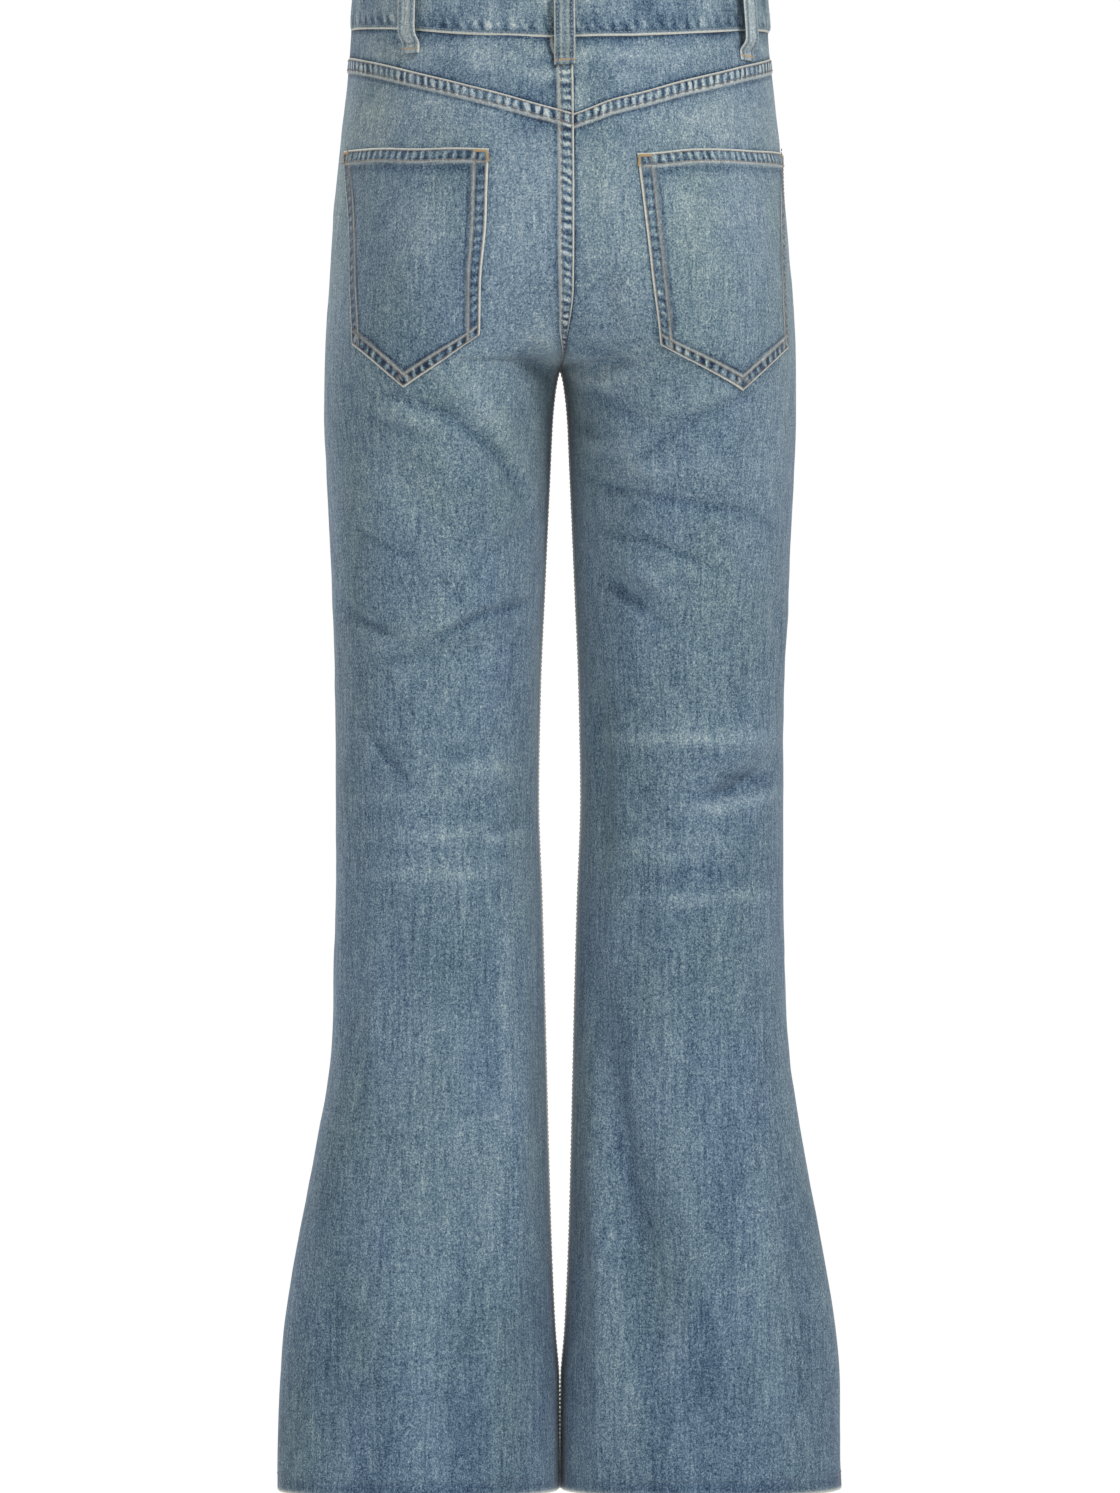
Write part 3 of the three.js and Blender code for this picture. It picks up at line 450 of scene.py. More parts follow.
# A closed wall from a grid of outer points and one of inner points
def shell(name, outer, inner, fields, materials, hole=None):
    rows, columns = outer.shape[:2]
    size = rows * columns
    index = np.arange(size).reshape(rows, columns)
    kept = np.ones((rows - 1, columns - 1), bool) if hole is None else ~hole
    a, b = index[:-1, :-1][kept], index[1:, :-1][kept]
    c, d = index[1:, 1:][kept], index[:-1, 1:][kept]
    first = np.stack([a, b, c, d], axis=1)
    second = np.stack([a, d, c, b], axis=1) + size
    filled = np.pad(kept, 1)
    walls = []
    upper, lower = filled[:-1, 1:-1], filled[1:, 1:-1]
    for mask, back in ((lower & ~upper, False), (upper & ~lower, True)):
        i, j = np.nonzero(mask)
        p, q = index[i, j], index[i, j + 1]
        walls.append(np.stack([q, p, p + size, q + size] if back else [p, q, q + size, p + size], axis=1))
    before, after = filled[1:-1, :-1], filled[1:-1, 1:]
    for mask, back in ((after & ~before, True), (before & ~after, False)):
        i, j = np.nonzero(mask)
        p, q = index[i, j], index[i + 1, j]
        walls.append(np.stack([q, p, p + size, q + size] if back else [p, q, q + size, p + size], axis=1))
    faces = np.concatenate([first, second, *walls])
    points = np.concatenate([outer.reshape(-1, 3), inner.reshape(-1, 3)])
    v = points[faces]
    volume = np.sum(v[:, 0] * np.cross(v[:, 1], v[:, 2])) + np.sum(v[:, 0] * np.cross(v[:, 2], v[:, 3]))
    if volume < 0:
        faces = faces[:, ::-1]
    mesh = bpy.data.meshes.new(name)
    mesh.from_pydata((points * metre).tolist(), [], faces.tolist())
    for trait in traits:
        field = fields.get(trait, 0)
        values = np.broadcast_to(np.asarray(field, float), (rows, columns)).ravel()
        hidden = values if trait == "washAndShade" else values * 0
        layer = mesh.attributes.new(trait, "FLOAT", "POINT")
        layer.data.foreach_set("value", np.concatenate([values, hidden]).astype(np.float32))
    sideways = np.broadcast_to(fields["across"], (rows, columns)).ravel() * metre
    downward = np.broadcast_to(fields["down"], (rows, columns)).ravel() * metre
    flat = np.stack([np.tile(sideways, 2), -np.tile(downward, 2)], axis=1)
    loopPoints = np.empty(len(mesh.loops), int)
    mesh.loops.foreach_get("vertex_index", loopPoints)
    mesh.uv_layers.new(name=uvName).data.foreach_set("uv", flat[loopPoints].astype(np.float32).ravel())
    for material in materials:
        mesh.materials.append(material)
    slots = np.zeros(len(faces), int)
    slots[len(first):len(first) + len(second)] = len(materials) - 1
    mesh.polygons.foreach_set("material_index", slots)
    mesh.polygons.foreach_set("use_smooth", np.ones(len(faces), bool))
    used = np.zeros(len(points), bool)
    used[faces.ravel()] = True
    if not used.all():
        work = bmesh.new()
        work.from_mesh(mesh)
        bmesh.ops.delete(work, geom=[x for x in work.verts if not x.link_faces], context="VERTS")
        work.to_mesh(mesh)
        work.free()
    mesh.update()
    return addObject(name, mesh)


def addObject(name, mesh):
    made = bpy.data.objects.new(name, mesh)
    bpy.context.scene.collection.objects.link(made)
    return made


def clothArea(outer):
    edges = np.diff(outer, axis=0)[:, :-1], np.diff(outer, axis=1)[:-1]
    return np.sum(np.linalg.norm(np.cross(*edges), axis=-1)) * metre ** 2


# Each piece of cloth rides on the one body and stands for a node
def clothPiece(made, node, outer):
    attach(made, "root")
    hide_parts(node)
    print(node, "faces", len(made.data.polygons), "cloth", round(clothArea(outer), 4))


# ---- materials

def srgb(red, green, blue):
    return tuple(((c / 255 + 0.055) / 1.055) ** 2.4 if c > 10 else c / 3294 for c in (red, green, blue)) + (1.0,)


class Nodes:
    def __init__(self, name):
        self.material = bpy.data.materials.new(name)
        self.material.use_nodes = True
        self.tree = self.material.node_tree
        self.tree.nodes.clear()
        output = self.add("ShaderNodeOutputMaterial")
        self.shader = self.add("ShaderNodeBsdfPrincipled")
        self.tree.links.new(self.shader.outputs[0], output.inputs[0])

    def add(self, kind, **settings):
        made = self.tree.nodes.new(kind)
        for key, value in settings.items():
            setattr(made, key, value)
        return made

    def feed(self, socket, value):
        if isinstance(value, bpy.types.NodeSocket):
            self.tree.links.new(value, socket)
        else:
            socket.default_value = value

    def math(self, operation, first, second=0.0, third=0.0):
        made = self.add("ShaderNodeMath", operation=operation)
        for socket, value in zip(made.inputs, (first, second, third)):
            self.feed(socket, value)
        return made.outputs[0]

    def noise(self, coordinates, scale, detail, stretch=(1, 1, 1), roughness=0.5):
        place = self.add("ShaderNodeMapping")
        self.feed(place.inputs["Vector"], coordinates)
        place.inputs["Scale"].default_value = stretch
        made = self.add("ShaderNodeTexNoise")
        self.feed(made.inputs["Vector"], place.outputs[0])
        made.inputs["Scale"].default_value = scale
        made.inputs["Detail"].default_value = detail
        made.inputs["Roughness"].default_value = roughness
        return made.outputs[0]

    def trait(self, name):
        return self.add("ShaderNodeAttribute", attribute_name=name).outputs["Fac"]

    def mix(self, share, first, second):
        made = self.add("ShaderNodeMix", data_type="RGBA")
        self.feed(made.inputs[0], share)
        self.feed(made.inputs[6], first)
        self.feed(made.inputs[7], second)
        return made.outputs[2]

    def ramp(self, value, stops):
        made = self.add("ShaderNodeValToRGB")
        self.feed(made.inputs[0], value)
        line = made.color_ramp
        while len(line.elements) < len(stops):
            line.elements.new(0.5)
        for element, (at, colour) in zip(line.elements, stops):
            element.position = at
            element.color = colour
        return made.outputs[0]

    def bump(self, height, strength, distance):
        made = self.add("ShaderNodeBump")
        made.inputs["Strength"].default_value = strength
        made.inputs["Distance"].default_value = distance
        self.feed(made.inputs["Height"], height)
        self.feed(self.shader.inputs["Normal"], made.outputs[0])


def greener(colour):
    red, green, blue, alpha = colour
    return (red * 1.02, green * 1.02, blue * 0.9, alpha)


# Washed denim: mottled blue and grey threads, puckered ladders along seams, worn pale edges
def denimMaterial(name, stops):
    n = Nodes(name)
    coordinates = n.add("ShaderNodeTexCoord").outputs["Object"]
    slub = n.noise(coordinates, 560, 2, (1, 1, 0.09))
    cross = n.noise(coordinates, 560, 2, (0.16, 0.16, 1))
    heather = n.noise(coordinates, 760, 3, (1, 1, 0.75), 0.72)
    mottle = n.noise(coordinates, 170, 3, (1, 1, 0.55), 0.6)
    clouds = n.noise(coordinates, 26, 3, (1, 1, 0.4))
    speck = n.noise(coordinates, 1150, 1)
    streak = n.noise(coordinates, 330, 2, (1, 1, 0.06))
    band = n.trait("band")
    wobble = n.math("MULTIPLY", mottle, 7.0)
    wave = n.math("SINE", n.math("ADD", n.math("MULTIPLY", n.trait("along"), 1000.0), wobble))
    swell = n.math("MULTIPLY_ADD", n.noise(coordinates, 75, 1), 2.6, -0.3)
    ladder = n.math("MULTIPLY", n.math("MULTIPLY", wave, band), swell)
    # Lightness from wash and wear, and painted shade in creases, round the crotch and beside seams and pockets
    value = n.math("ADD", n.trait("washAndShade"), 0.5)
    shares = (heather, 1.3), (slub, 0.35), (cross, 0.2), (mottle, 0.17), (clouds, 0.22), (speck, 0.9), (streak, 0.3)
    for part, amount in shares:
        value = n.math("ADD", value, n.math("MULTIPLY", n.math("SUBTRACT", part, 0.5), amount))
    value = n.math("MULTIPLY_ADD", ladder, 0.34, value)
    value = n.math("MULTIPLY_ADD", band, -0.03, value)
    # Painted shade: darker in seam channels, along stitch lines and just beside raised edges
    value = n.math("MULTIPLY_ADD", n.trait("grooveShade"), -0.42, value)
    colour = n.ramp(value, stops)
    patches = n.noise(coordinates, 14, 2, (1, 1, 0.5))
    tint = n.math("MULTIPLY", n.math("SUBTRACT", patches, 0.38), 3.0)
    tint = n.math("MINIMUM", n.math("MAXIMUM", tint, 0.0), 1.0)
    colour = n.mix(tint, colour, n.ramp(value, [(at, greener(shade)) for at, shade in stops]))
    worn = n.math("MULTIPLY", n.trait("edge"), n.math("MULTIPLY_ADD", heather, 0.95, 0.42))
    worn = n.math("MINIMUM", worn, 1.0)
    colour = n.mix(worn, colour, srgb(216, 215, 202))
    n.feed(n.shader.inputs["Base Color"], colour)
    n.shader.inputs["Roughness"].default_value = 0.92
    n.shader.inputs["Specular IOR Level"].default_value = 0.2
    n.shader.inputs["Sheen Weight"].default_value = 0.12
    n.shader.inputs["Sheen Roughness"].default_value = 0.6
    height = n.math("MULTIPLY", heather, 0.5)
    height = n.math("MULTIPLY_ADD", slub, 0.45, height)
    height = n.math("MULTIPLY_ADD", mottle, 0.5, height)
    height = n.math("MULTIPLY_ADD", ladder, 0.55, height)
    n.bump(height, 0.55, 0.0011)
    return n.material


def plainMaterial(name, colour, roughness, metallic=0.0, grain=None):
    n = Nodes(name)
    n.shader.inputs["Base Color"].default_value = colour
    n.shader.inputs["Roughness"].default_value = roughness
    n.shader.inputs["Metallic"].default_value = metallic
    if grain:
        coordinates = n.add("ShaderNodeTexCoord").outputs["Object"]
        n.bump(n.noise(coordinates, grain[0], 3), grain[1], grain[2])
    return n.material


denimStops = [(0.0, srgb(24, 40, 64)), (0.25, srgb(58, 81, 105)), (0.5, srgb(99, 122, 140)),
              (0.75, srgb(139, 157, 167)), (1.0, srgb(192, 199, 198))]
insideStops = [(0.0, srgb(98, 112, 122)), (0.5, srgb(152, 162, 167)), (1.0, srgb(204, 207, 205))]
outsideDenim = denimMaterial("denim_washed", denimStops)
insideDenim = denimMaterial("denim_inside", insideStops)
threadTan = plainMaterial("thread_tan", srgb(120, 108, 100), 0.75, grain=(2600, 0.4, 0.0002))
threadGold = plainMaterial("thread_gold", srgb(178, 152, 112), 0.7, grain=(2600, 0.4, 0.0002))
threadBlue = plainMaterial("thread_blue", srgb(84, 102, 118), 0.8, grain=(2600, 0.4, 0.0002))
threadTonal = plainMaterial("thread_tonal", srgb(128, 141, 146), 0.8, grain=(2600, 0.4, 0.0002))
brass = plainMaterial("brass_aged", srgb(168, 132, 82), 0.34, 0.95, grain=(900, 0.15, 0.0002))
both = [outsideDenim, insideDenim]


# Lightness by height and from the washed places, with painted shade down the outer sides
def washAndShadeAt(leg, turn, height):
    value = np.interp(height, [h for h, _ in washByHeight], [w for _, w in washByHeight])
    spots = washesAndShade[leg] + [line[1:] for line in kneeLines if line[0] == leg]
    for at, level, around, up, amount in spots:
        sideways = (turn * seamAngle(height) - at * seamAngle(level)) * meanRadius(level)
        value = value + amount * np.exp(-(sideways / around) ** 2 - ((height - level) / up) ** 2)
    return value


# ---- seam lines in the cloth

def waistSeam(turn):
    dip = np.where(turn > 0, waistband["backDip"], waistband["frontDip"])
    return waistband["side"] - dip * np.sin(turn * np.pi / 2) ** 2


def yokeSeam(turn):
    return yoke["side"] - yoke["drop"] * np.maximum(turn, 0) ** yoke["bend"]


# A doubled band along an edge, raised, rounded at the edge and stepping down at its far side
def bandProfile(distance, width=bandWidth, height=bandRaise):
    rounded = height * smooth((width + 0.9 - distance) / 0.9) - 0.6 * np.exp(-distance / 0.35)
    middle = 0.18 * np.exp(-((distance - width / 2) / (width / 3.2)) ** 2)
    return rounded + middle


# Marks of a stitched band: the ladder, pale worn edges, painted shade in the stitch channels and just past the band's
# far side, and a darker strip of cloth beyond that
def bandTraits(fields, distance, along, width=bandWidth, edge=0.9, period=6.6, strength=1.0):
    mask = strength * smooth((distance - 0.8) / 1.0) * smooth((width + 0.6 - distance) / 1.4)
    phase = along * (2 * np.pi / period) / 1000
    fields["along"] = np.where(mask > fields["band"], phase, fields["along"])
    fields["band"] = np.maximum(fields["band"], mask)
    fields["edge"] = np.maximum(fields["edge"], edge * np.exp(-(distance / 1.35) ** 4))
    fields["edge"] = np.maximum(fields["edge"], 0.5 * ridge(distance, width + 0.3, 1.1))
    fields["grooveShade"] = np.maximum(fields["grooveShade"], 0.8 * ridge(distance, width + 2.3, 1.3))
    fields["washAndShade"] = fields["washAndShade"] - 0.07 * np.exp(-np.maximum(distance - width - 2, 0) / 9) * (distance > width + 2)
    fields["grooveShade"] = np.maximum(fields["grooveShade"], 0.5 * ridge(distance, 1.9, 0.7))
    fields["grooveShade"] = np.maximum(fields["grooveShade"], 0.5 * ridge(distance, width - 1.6, 0.8))


def blankFields(shape):
    return {trait: np.zeros(shape) for trait in traits}


panels = {}


# Builds one panel from its turns and heights, with a raise for each point and a wall
def panel(name, leg, turn, height, fromOuter, fromInner, proud, wall, fields):
    bare = clothPoint(leg, turn, height)
    normal = gridNormals(bare, normalAt(plainPoint, turn, height))
    outer = toSide(leg, bare + normal * proud[..., None])
    inner = toSide(leg, bare + normal * (proud - wall)[..., None])
    if leg == "right":
        normal = normal * np.array([-1, 1, 1])
    fields["washAndShade"] = fields["washAndShade"] + washAndShadeAt(leg, turn, height) + creaseWearAndShade(leg, turn, height)
    fields["across"], fields["down"] = fromInner, pathLengths(bare, 0)
    made = shell(name + "_cloth", outer, inner, fields, both)
    clothPiece(made, name, outer)
    panels[name] = {"outer": outer, "normal": normal, "fromInner": fromInner, "fromOuter": fromOuter,
                    "down": fields["down"], "up": fields["down"][-1:] - fields["down"]}


bandMarks = [0, 0.25, 0.6, 1.2, 2.0, 3.2, 4.6, 6.0, 7.4, 8.6, 9.5, 10.1, 10.6, 11.1, 12.0, 13.4]
plainMarks = [0, 0.6, 1.6, 3.2, 5.4]
hemMarks = [18.5, 16.8, 15.6, 14.9, 14.2, 13.0, 11.5, 9.5, 7.0, 4.6, 2.8, 1.5, 0.7, 0.25, 0]

# Heights down a centre seam that are even along the cloth as it curves under the crotch
def centreHeights(face, top, count):
    heights = crotchHeight + (top - crotchHeight) * (1 - np.linspace(0, 1, 900)) ** 2
    lengths = pathLengths(plainPoint(np.full(900, float(face)), heights)[None], 1)[0]
    return np.interp(np.linspace(0, lengths[-1], count + 1), lengths, heights)


# Rows of a leg, closest together where it creases
def legHeights():
    stops = [(crotchHeight, 0), (-480, 80), (-680, 140), (hemHeight + 22, legRows)]
    rows = np.interp(np.arange(1, legRows + 1), [row for _, row in stops], [level for level, _ in stops])
    return np.concatenate([rows, hemHeight + np.array(hemMarks)])


# The turned hem, pale and worn along its edge, with painted shade a little above it
def hemDress(fields, up):
    fields["edge"] = np.maximum(fields["edge"], 0.9 * np.exp(-(up / 1.8) ** 2))
    fields["grooveShade"] = np.maximum(fields["grooveShade"], 0.25 * ridge(up, 7, 4))


def hemWall(up, wall):
    return wall + (3.0 - wall) * smooth((14.9 - up) / 0.9)


# ---- back legs

seatRows = 118
legRows = 192


def backLeg(leg):
    low = bandMarks[-1]
    top = yokeSeam(1.0)
    seat = centreHeights(1, top - low, seatRows)[1:]
    share = np.arange(1, seatRows + 1) / seatRows
    inner = np.concatenate([top - np.array(bandMarks), seat, legHeights()])
    sideTop = yoke["side"] - np.array(bandMarks)
    outer = np.concatenate([sideTop, lerp(sideTop[-1], crotchHeight, share), legHeights()])
    below = np.zeros(len(inner) - len(bandMarks) - seatRows)
    follow = np.concatenate([np.ones(len(bandMarks)), 1 - smooth(share * 2), below])
    inner, outer, follow = inner[:, None], outer[:, None], follow[:, None]
    outerTurn, innerTurn = sideSeamTurn + seamOffset, 1 - seamOffset

    def place(across):
        even = lerp(outerTurn, innerTurn, across)
        turn, height = between((outerTurn, outer), (innerTurn, inner), across)
        edge = outer + (inner - outer) * np.maximum(even, 0) ** yoke["bend"]
        return lerp(turn, even, follow), lerp(height, edge, follow)

    innerMarks = bandMarks if leg == "left" else plainMarks
    turn, height, fromOuter, fromInner = spread(place, len(inner), plainMarks, innerMarks, 92)
    down = pathLengths(plainPoint(turn, height), 0)
    up = height - hemHeight
    fields = blankFields(turn.shape)
    bandTraits(fields, down, fromInner)
    proud = bandProfile(down)
    above = smooth((height - crotchHeight + 4) / 6)
    if leg == "left":
        along = blankFields(turn.shape)
        bandTraits(along, fromInner, down)
        stronger = (along["band"] * above > fields["band"] * smooth((down - 9) / 3)) & (down > 9)
        fields["along"] = np.where(stronger, along["along"], fields["along"])
        fields["band"] = np.where(down > 10, along["band"] * above, fields["band"])
        for trait in ("edge", "grooveShade"):
            fields[trait] = np.maximum(fields[trait], along[trait] * above)
        proud = np.maximum(proud, bandProfile(fromInner) * above)
        proud = np.where(fromInner < 1, np.minimum(proud, bandProfile(fromInner) * above + (1 - above)), proud)
    else:
        # Painted shade along the centre seam, where the left leg's band lies over this one
        fields["grooveShade"] = np.maximum(fields["grooveShade"], 0.85 * np.exp(-(fromInner / 1.6) ** 2) * above)
        fields["washAndShade"] = fields["washAndShade"] - 0.1 * np.exp(-fromInner / 8) * above
    # Painted shade along the side seam
    fields["grooveShade"] = np.maximum(fields["grooveShade"], 0.5 * np.exp(-(fromOuter / 1.4) ** 2))
    # Painted shadow: darker round the crotch point and along the inseam just below it
    fork = np.hypot(fromInner, height - crotchHeight)
    inside = 0.06 * np.exp(-(fromInner / 22) ** 2) * (1 - above)
    fields["washAndShade"] = fields["washAndShade"] - 0.2 * np.exp(-(fork / 14) ** 2) - inside
    # Painted shadow: a dark halo on the seat just outside each back pocket's outline
    seat = (height > -300) & (turn > 0)
    gaps = edgeMeasures(pocketOutline(leg), pocketFlat(turn[seat], height[seat]))[0].min(axis=0)
    fields["washAndShade"][seat] -= 0.12 * np.exp(-gaps / 3.0)
    hemDress(fields, up)
    wall = hemWall(up, denim + np.maximum(proud, 0))
    proud = proud - 0.7 * np.exp(-up / 0.5)
    panel(f"back_leg_{leg}", leg, turn, height, fromOuter, fromInner, proud, wall, fields)


# ---- front legs

mouthRows = 34
sideRows = 52
flyInsets = (29.0, 35.0)
flyTurn = -160


def frontLeg(leg):
    mouthTop = float(waistSeam(mouth["turn"]))
    quarter = np.linspace(0, np.pi / 2, mouthRows + 1)
    outerTurn = np.concatenate([lerp(sideSeamTurn, mouth["turn"], np.cos(quarter)), np.full(sideRows, sideSeamTurn)])
    outer = np.concatenate([lerp(mouthTop, mouth["side"], np.sin(quarter)),
                            np.linspace(mouth["side"], crotchHeight, sideRows + 1)[1:]])
    inner = centreHeights(-1, float(waistSeam(-1.0)), mouthRows + sideRows)
    legPart = legHeights()
    outerTurn = np.concatenate([outerTurn, np.full(len(legPart), sideSeamTurn)])[:, None] - seamOffset
    outer = np.concatenate([outer, legPart])[:, None]
    inner = np.concatenate([inner, legPart])[:, None]
    innerTurn = -1 + seamOffset
    follow = (1 - smooth((inner[0] - inner) / 60))

    def place(across):
        turn, height = between((outerTurn, outer), (innerTurn, inner), across)
        first = between((outerTurn[:1], outer[:1]), (innerTurn, inner[:1]), across[:1])
        gap = waistSeam(first[0]) - first[1]
        return turn, height + gap * follow

    turn, height, fromOuter, fromInner = spread(place, len(inner), bandMarks, bandMarks, 44)
    down = pathLengths(plainPoint(turn, height), 0)
    up = height - hemHeight
    fields = blankFields(turn.shape)
    atMouth = smooth((height - mouth["side"] + 3) / 4) * (np.arange(len(inner)) <= mouthRows + 1)[:, None]
    bandTraits(fields, fromOuter, down, edge=0.8)
    for trait in ("band", "edge", "grooveShade"):
        fields[trait] = fields[trait] * atMouth
    # Painted shade along the side seam below the pocket mouth
    fields["grooveShade"] = np.maximum(fields["grooveShade"], 0.5 * np.exp(-(fromOuter / 1.4) ** 2) * (1 - atMouth))
    seam = blankFields(turn.shape)
    bandTraits(seam, fromInner, down, edge=0.7)
    whole = 1.0 if leg == "left" else smooth((-252 - height) / 8)
    shown = smooth(((fly["bottom"] if leg == "left" else -252) - height) / 8)
    for trait in ("edge", "grooveShade"):
        fields[trait] = np.maximum(fields[trait], seam[trait] * shown)
    fields["along"] = np.where(seam["band"] * shown > fields["band"], seam["along"], fields["along"])
    fields["band"] = np.maximum(fields["band"], seam["band"] * shown)
    if leg == "left":
        fields["edge"] = np.maximum(fields["edge"], 0.7 * np.exp(-(fromInner / 1.35) ** 4) * (height > crotchHeight))
        # Painted shade along the fly's stitch lines
        for inset in flyInsets:
            curve = np.hypot(fromInner, np.minimum(height - flyTurn, 0) * inset / (inset + 4)) - inset
            fields["grooveShade"] = np.maximum(fields["grooveShade"], 0.4 * ridge(curve, 0, 1.1) * (height > fly["bottom"]))
    proud = np.maximum(bandProfile(fromInner) * whole, bandProfile(fromOuter, height=0.5) * atMouth)
    proud = np.minimum(proud, bandRaise)
    # Painted shade along the top edge, under the waistband
    fields["grooveShade"] = np.maximum(fields["grooveShade"], 0.7 * np.exp(-(down / 1.8) ** 2))
    hemDress(fields, up)
    wall = hemWall(up, denim + np.maximum(proud, 0))
    proud = proud - 0.7 * np.exp(-up / 0.5)
    panel(f"front_leg_{leg}", leg, turn, height, fromOuter, fromInner, proud, wall, fields)


# ---- back yokes

yokeRows = 26


def backYoke(leg):
    share = np.linspace(0, 1, yokeRows)[:, None]
    outerTurn, innerTurn = sideSeamTurn + seamOffset, 1 - seamOffset

    def place(across):
        even = lerp(outerTurn, innerTurn, across)
        return even, lerp(waistSeam(even) + 0.5, yokeSeam(even) - 0.4, share)

    innerMarks = bandMarks if leg == "left" else plainMarks
    turn, height, fromOuter, fromInner = spread(place, yokeRows, plainMarks, innerMarks, 92)
    fields = blankFields(turn.shape)
    below = height - yokeSeam(turn)
    beneath = waistSeam(turn) - height
    proud = np.zeros(turn.shape)
    if leg == "left":
        bandTraits(fields, fromInner, beneath)
        proud = bandProfile(fromInner)
    # Painted shade along the yoke seam and under the waistband, on top of random tone
    fields["grooveShade"] = np.maximum(fields["grooveShade"], 0.8 * np.exp(-(below / 1.7) ** 2))
    fields["grooveShade"] = np.maximum(fields["grooveShade"], 0.7 * np.exp(-(beneath / 2.2) ** 2))
    cloudy = softNoise(plainPoint(turn, height) + (70 if leg == "left" else 0), np.array([22, 30, 9]))
    fields["washAndShade"] = 0.04 + 0.19 * cloudy - 0.17 * np.exp(-below / 6) - 0.2 * np.exp(-beneath / 9)
    fields["washAndShade"] = fields["washAndShade"] - 0.19 * np.exp(-fromInner / 14) * (fromInner > 11)
    fields["grooveShade"] = np.maximum(fields["grooveShade"], 0.5 * np.exp(-(fromOuter / 1.4) ** 2))
    if leg == "right":
        fields["grooveShade"] = np.maximum(fields["grooveShade"], 0.85 * np.exp(-(fromInner / 1.6) ** 2))
    wall = denim + np.maximum(proud, 0)
    panel(f"back_yoke_{leg}", leg, turn, height, fromOuter, fromInner, proud, wall, fields)


# ---- back pockets


def pocketFlat(turn, height):
    return np.stack([turn * seamAngle(height) * pocket["radius"], height + 0 * turn], axis=-1)


def pocketUnflat(places):
    height = places[..., 1]
    return places[..., 0] / (seamAngle(height) * pocket["radius"]), height


def pocketOutline(leg):
    names = ("outerTop", "innerTop", "innerBottom", "tip", "outerBottom", "outerTop")
    corners = [pocketCorners[leg][name] for name in names]
    share = np.linspace(0, 1, 40)
    return [pocketFlat(*seenStraight(a, b, share)) for a, b in zip(corners[:-1], corners[1:])]


# Distances to the five edges of the pocket, and places along them
def edgeMeasures(outline, places):
    distances, alongs = [], []
    for line in outline:
        start, way = line[:-1], np.diff(line, axis=0)
        size = np.linalg.norm(way, axis=1)
        away = places[..., None, :] - start
        share = np.clip(np.sum(away * way, axis=-1) / size ** 2, 0, 1)
        gap = np.linalg.norm(away - way * share[..., None], axis=-1)
        best = np.argmin(gap, axis=-1)
        reached = np.concatenate([[0], np.cumsum(size)])[best]
        distances.append(np.min(gap, axis=-1))
        alongs.append(reached + np.take_along_axis(share, best[..., None], -1)[..., 0] * size[best])
    return np.array(distances), np.array(alongs)


def pocketProud(distances):
    nearest = np.min(distances, axis=0)
    top = distances[0]
    puff = pocket["puff"] * smooth(nearest / 16)
    band = 0.55 * smooth((pocket["band"] + 1.6 - top) / 1.2)
    edge = 0.35 * smooth((pocket["edge"] + 1.2 - np.min(distances[1:], axis=0)) / 1.6)
    rounded = 0.5 * np.exp(-np.maximum(nearest, 0) / 0.4)
    return pocket["lift"] + pocket["wall"] + puff + np.maximum(band, edge) - rounded


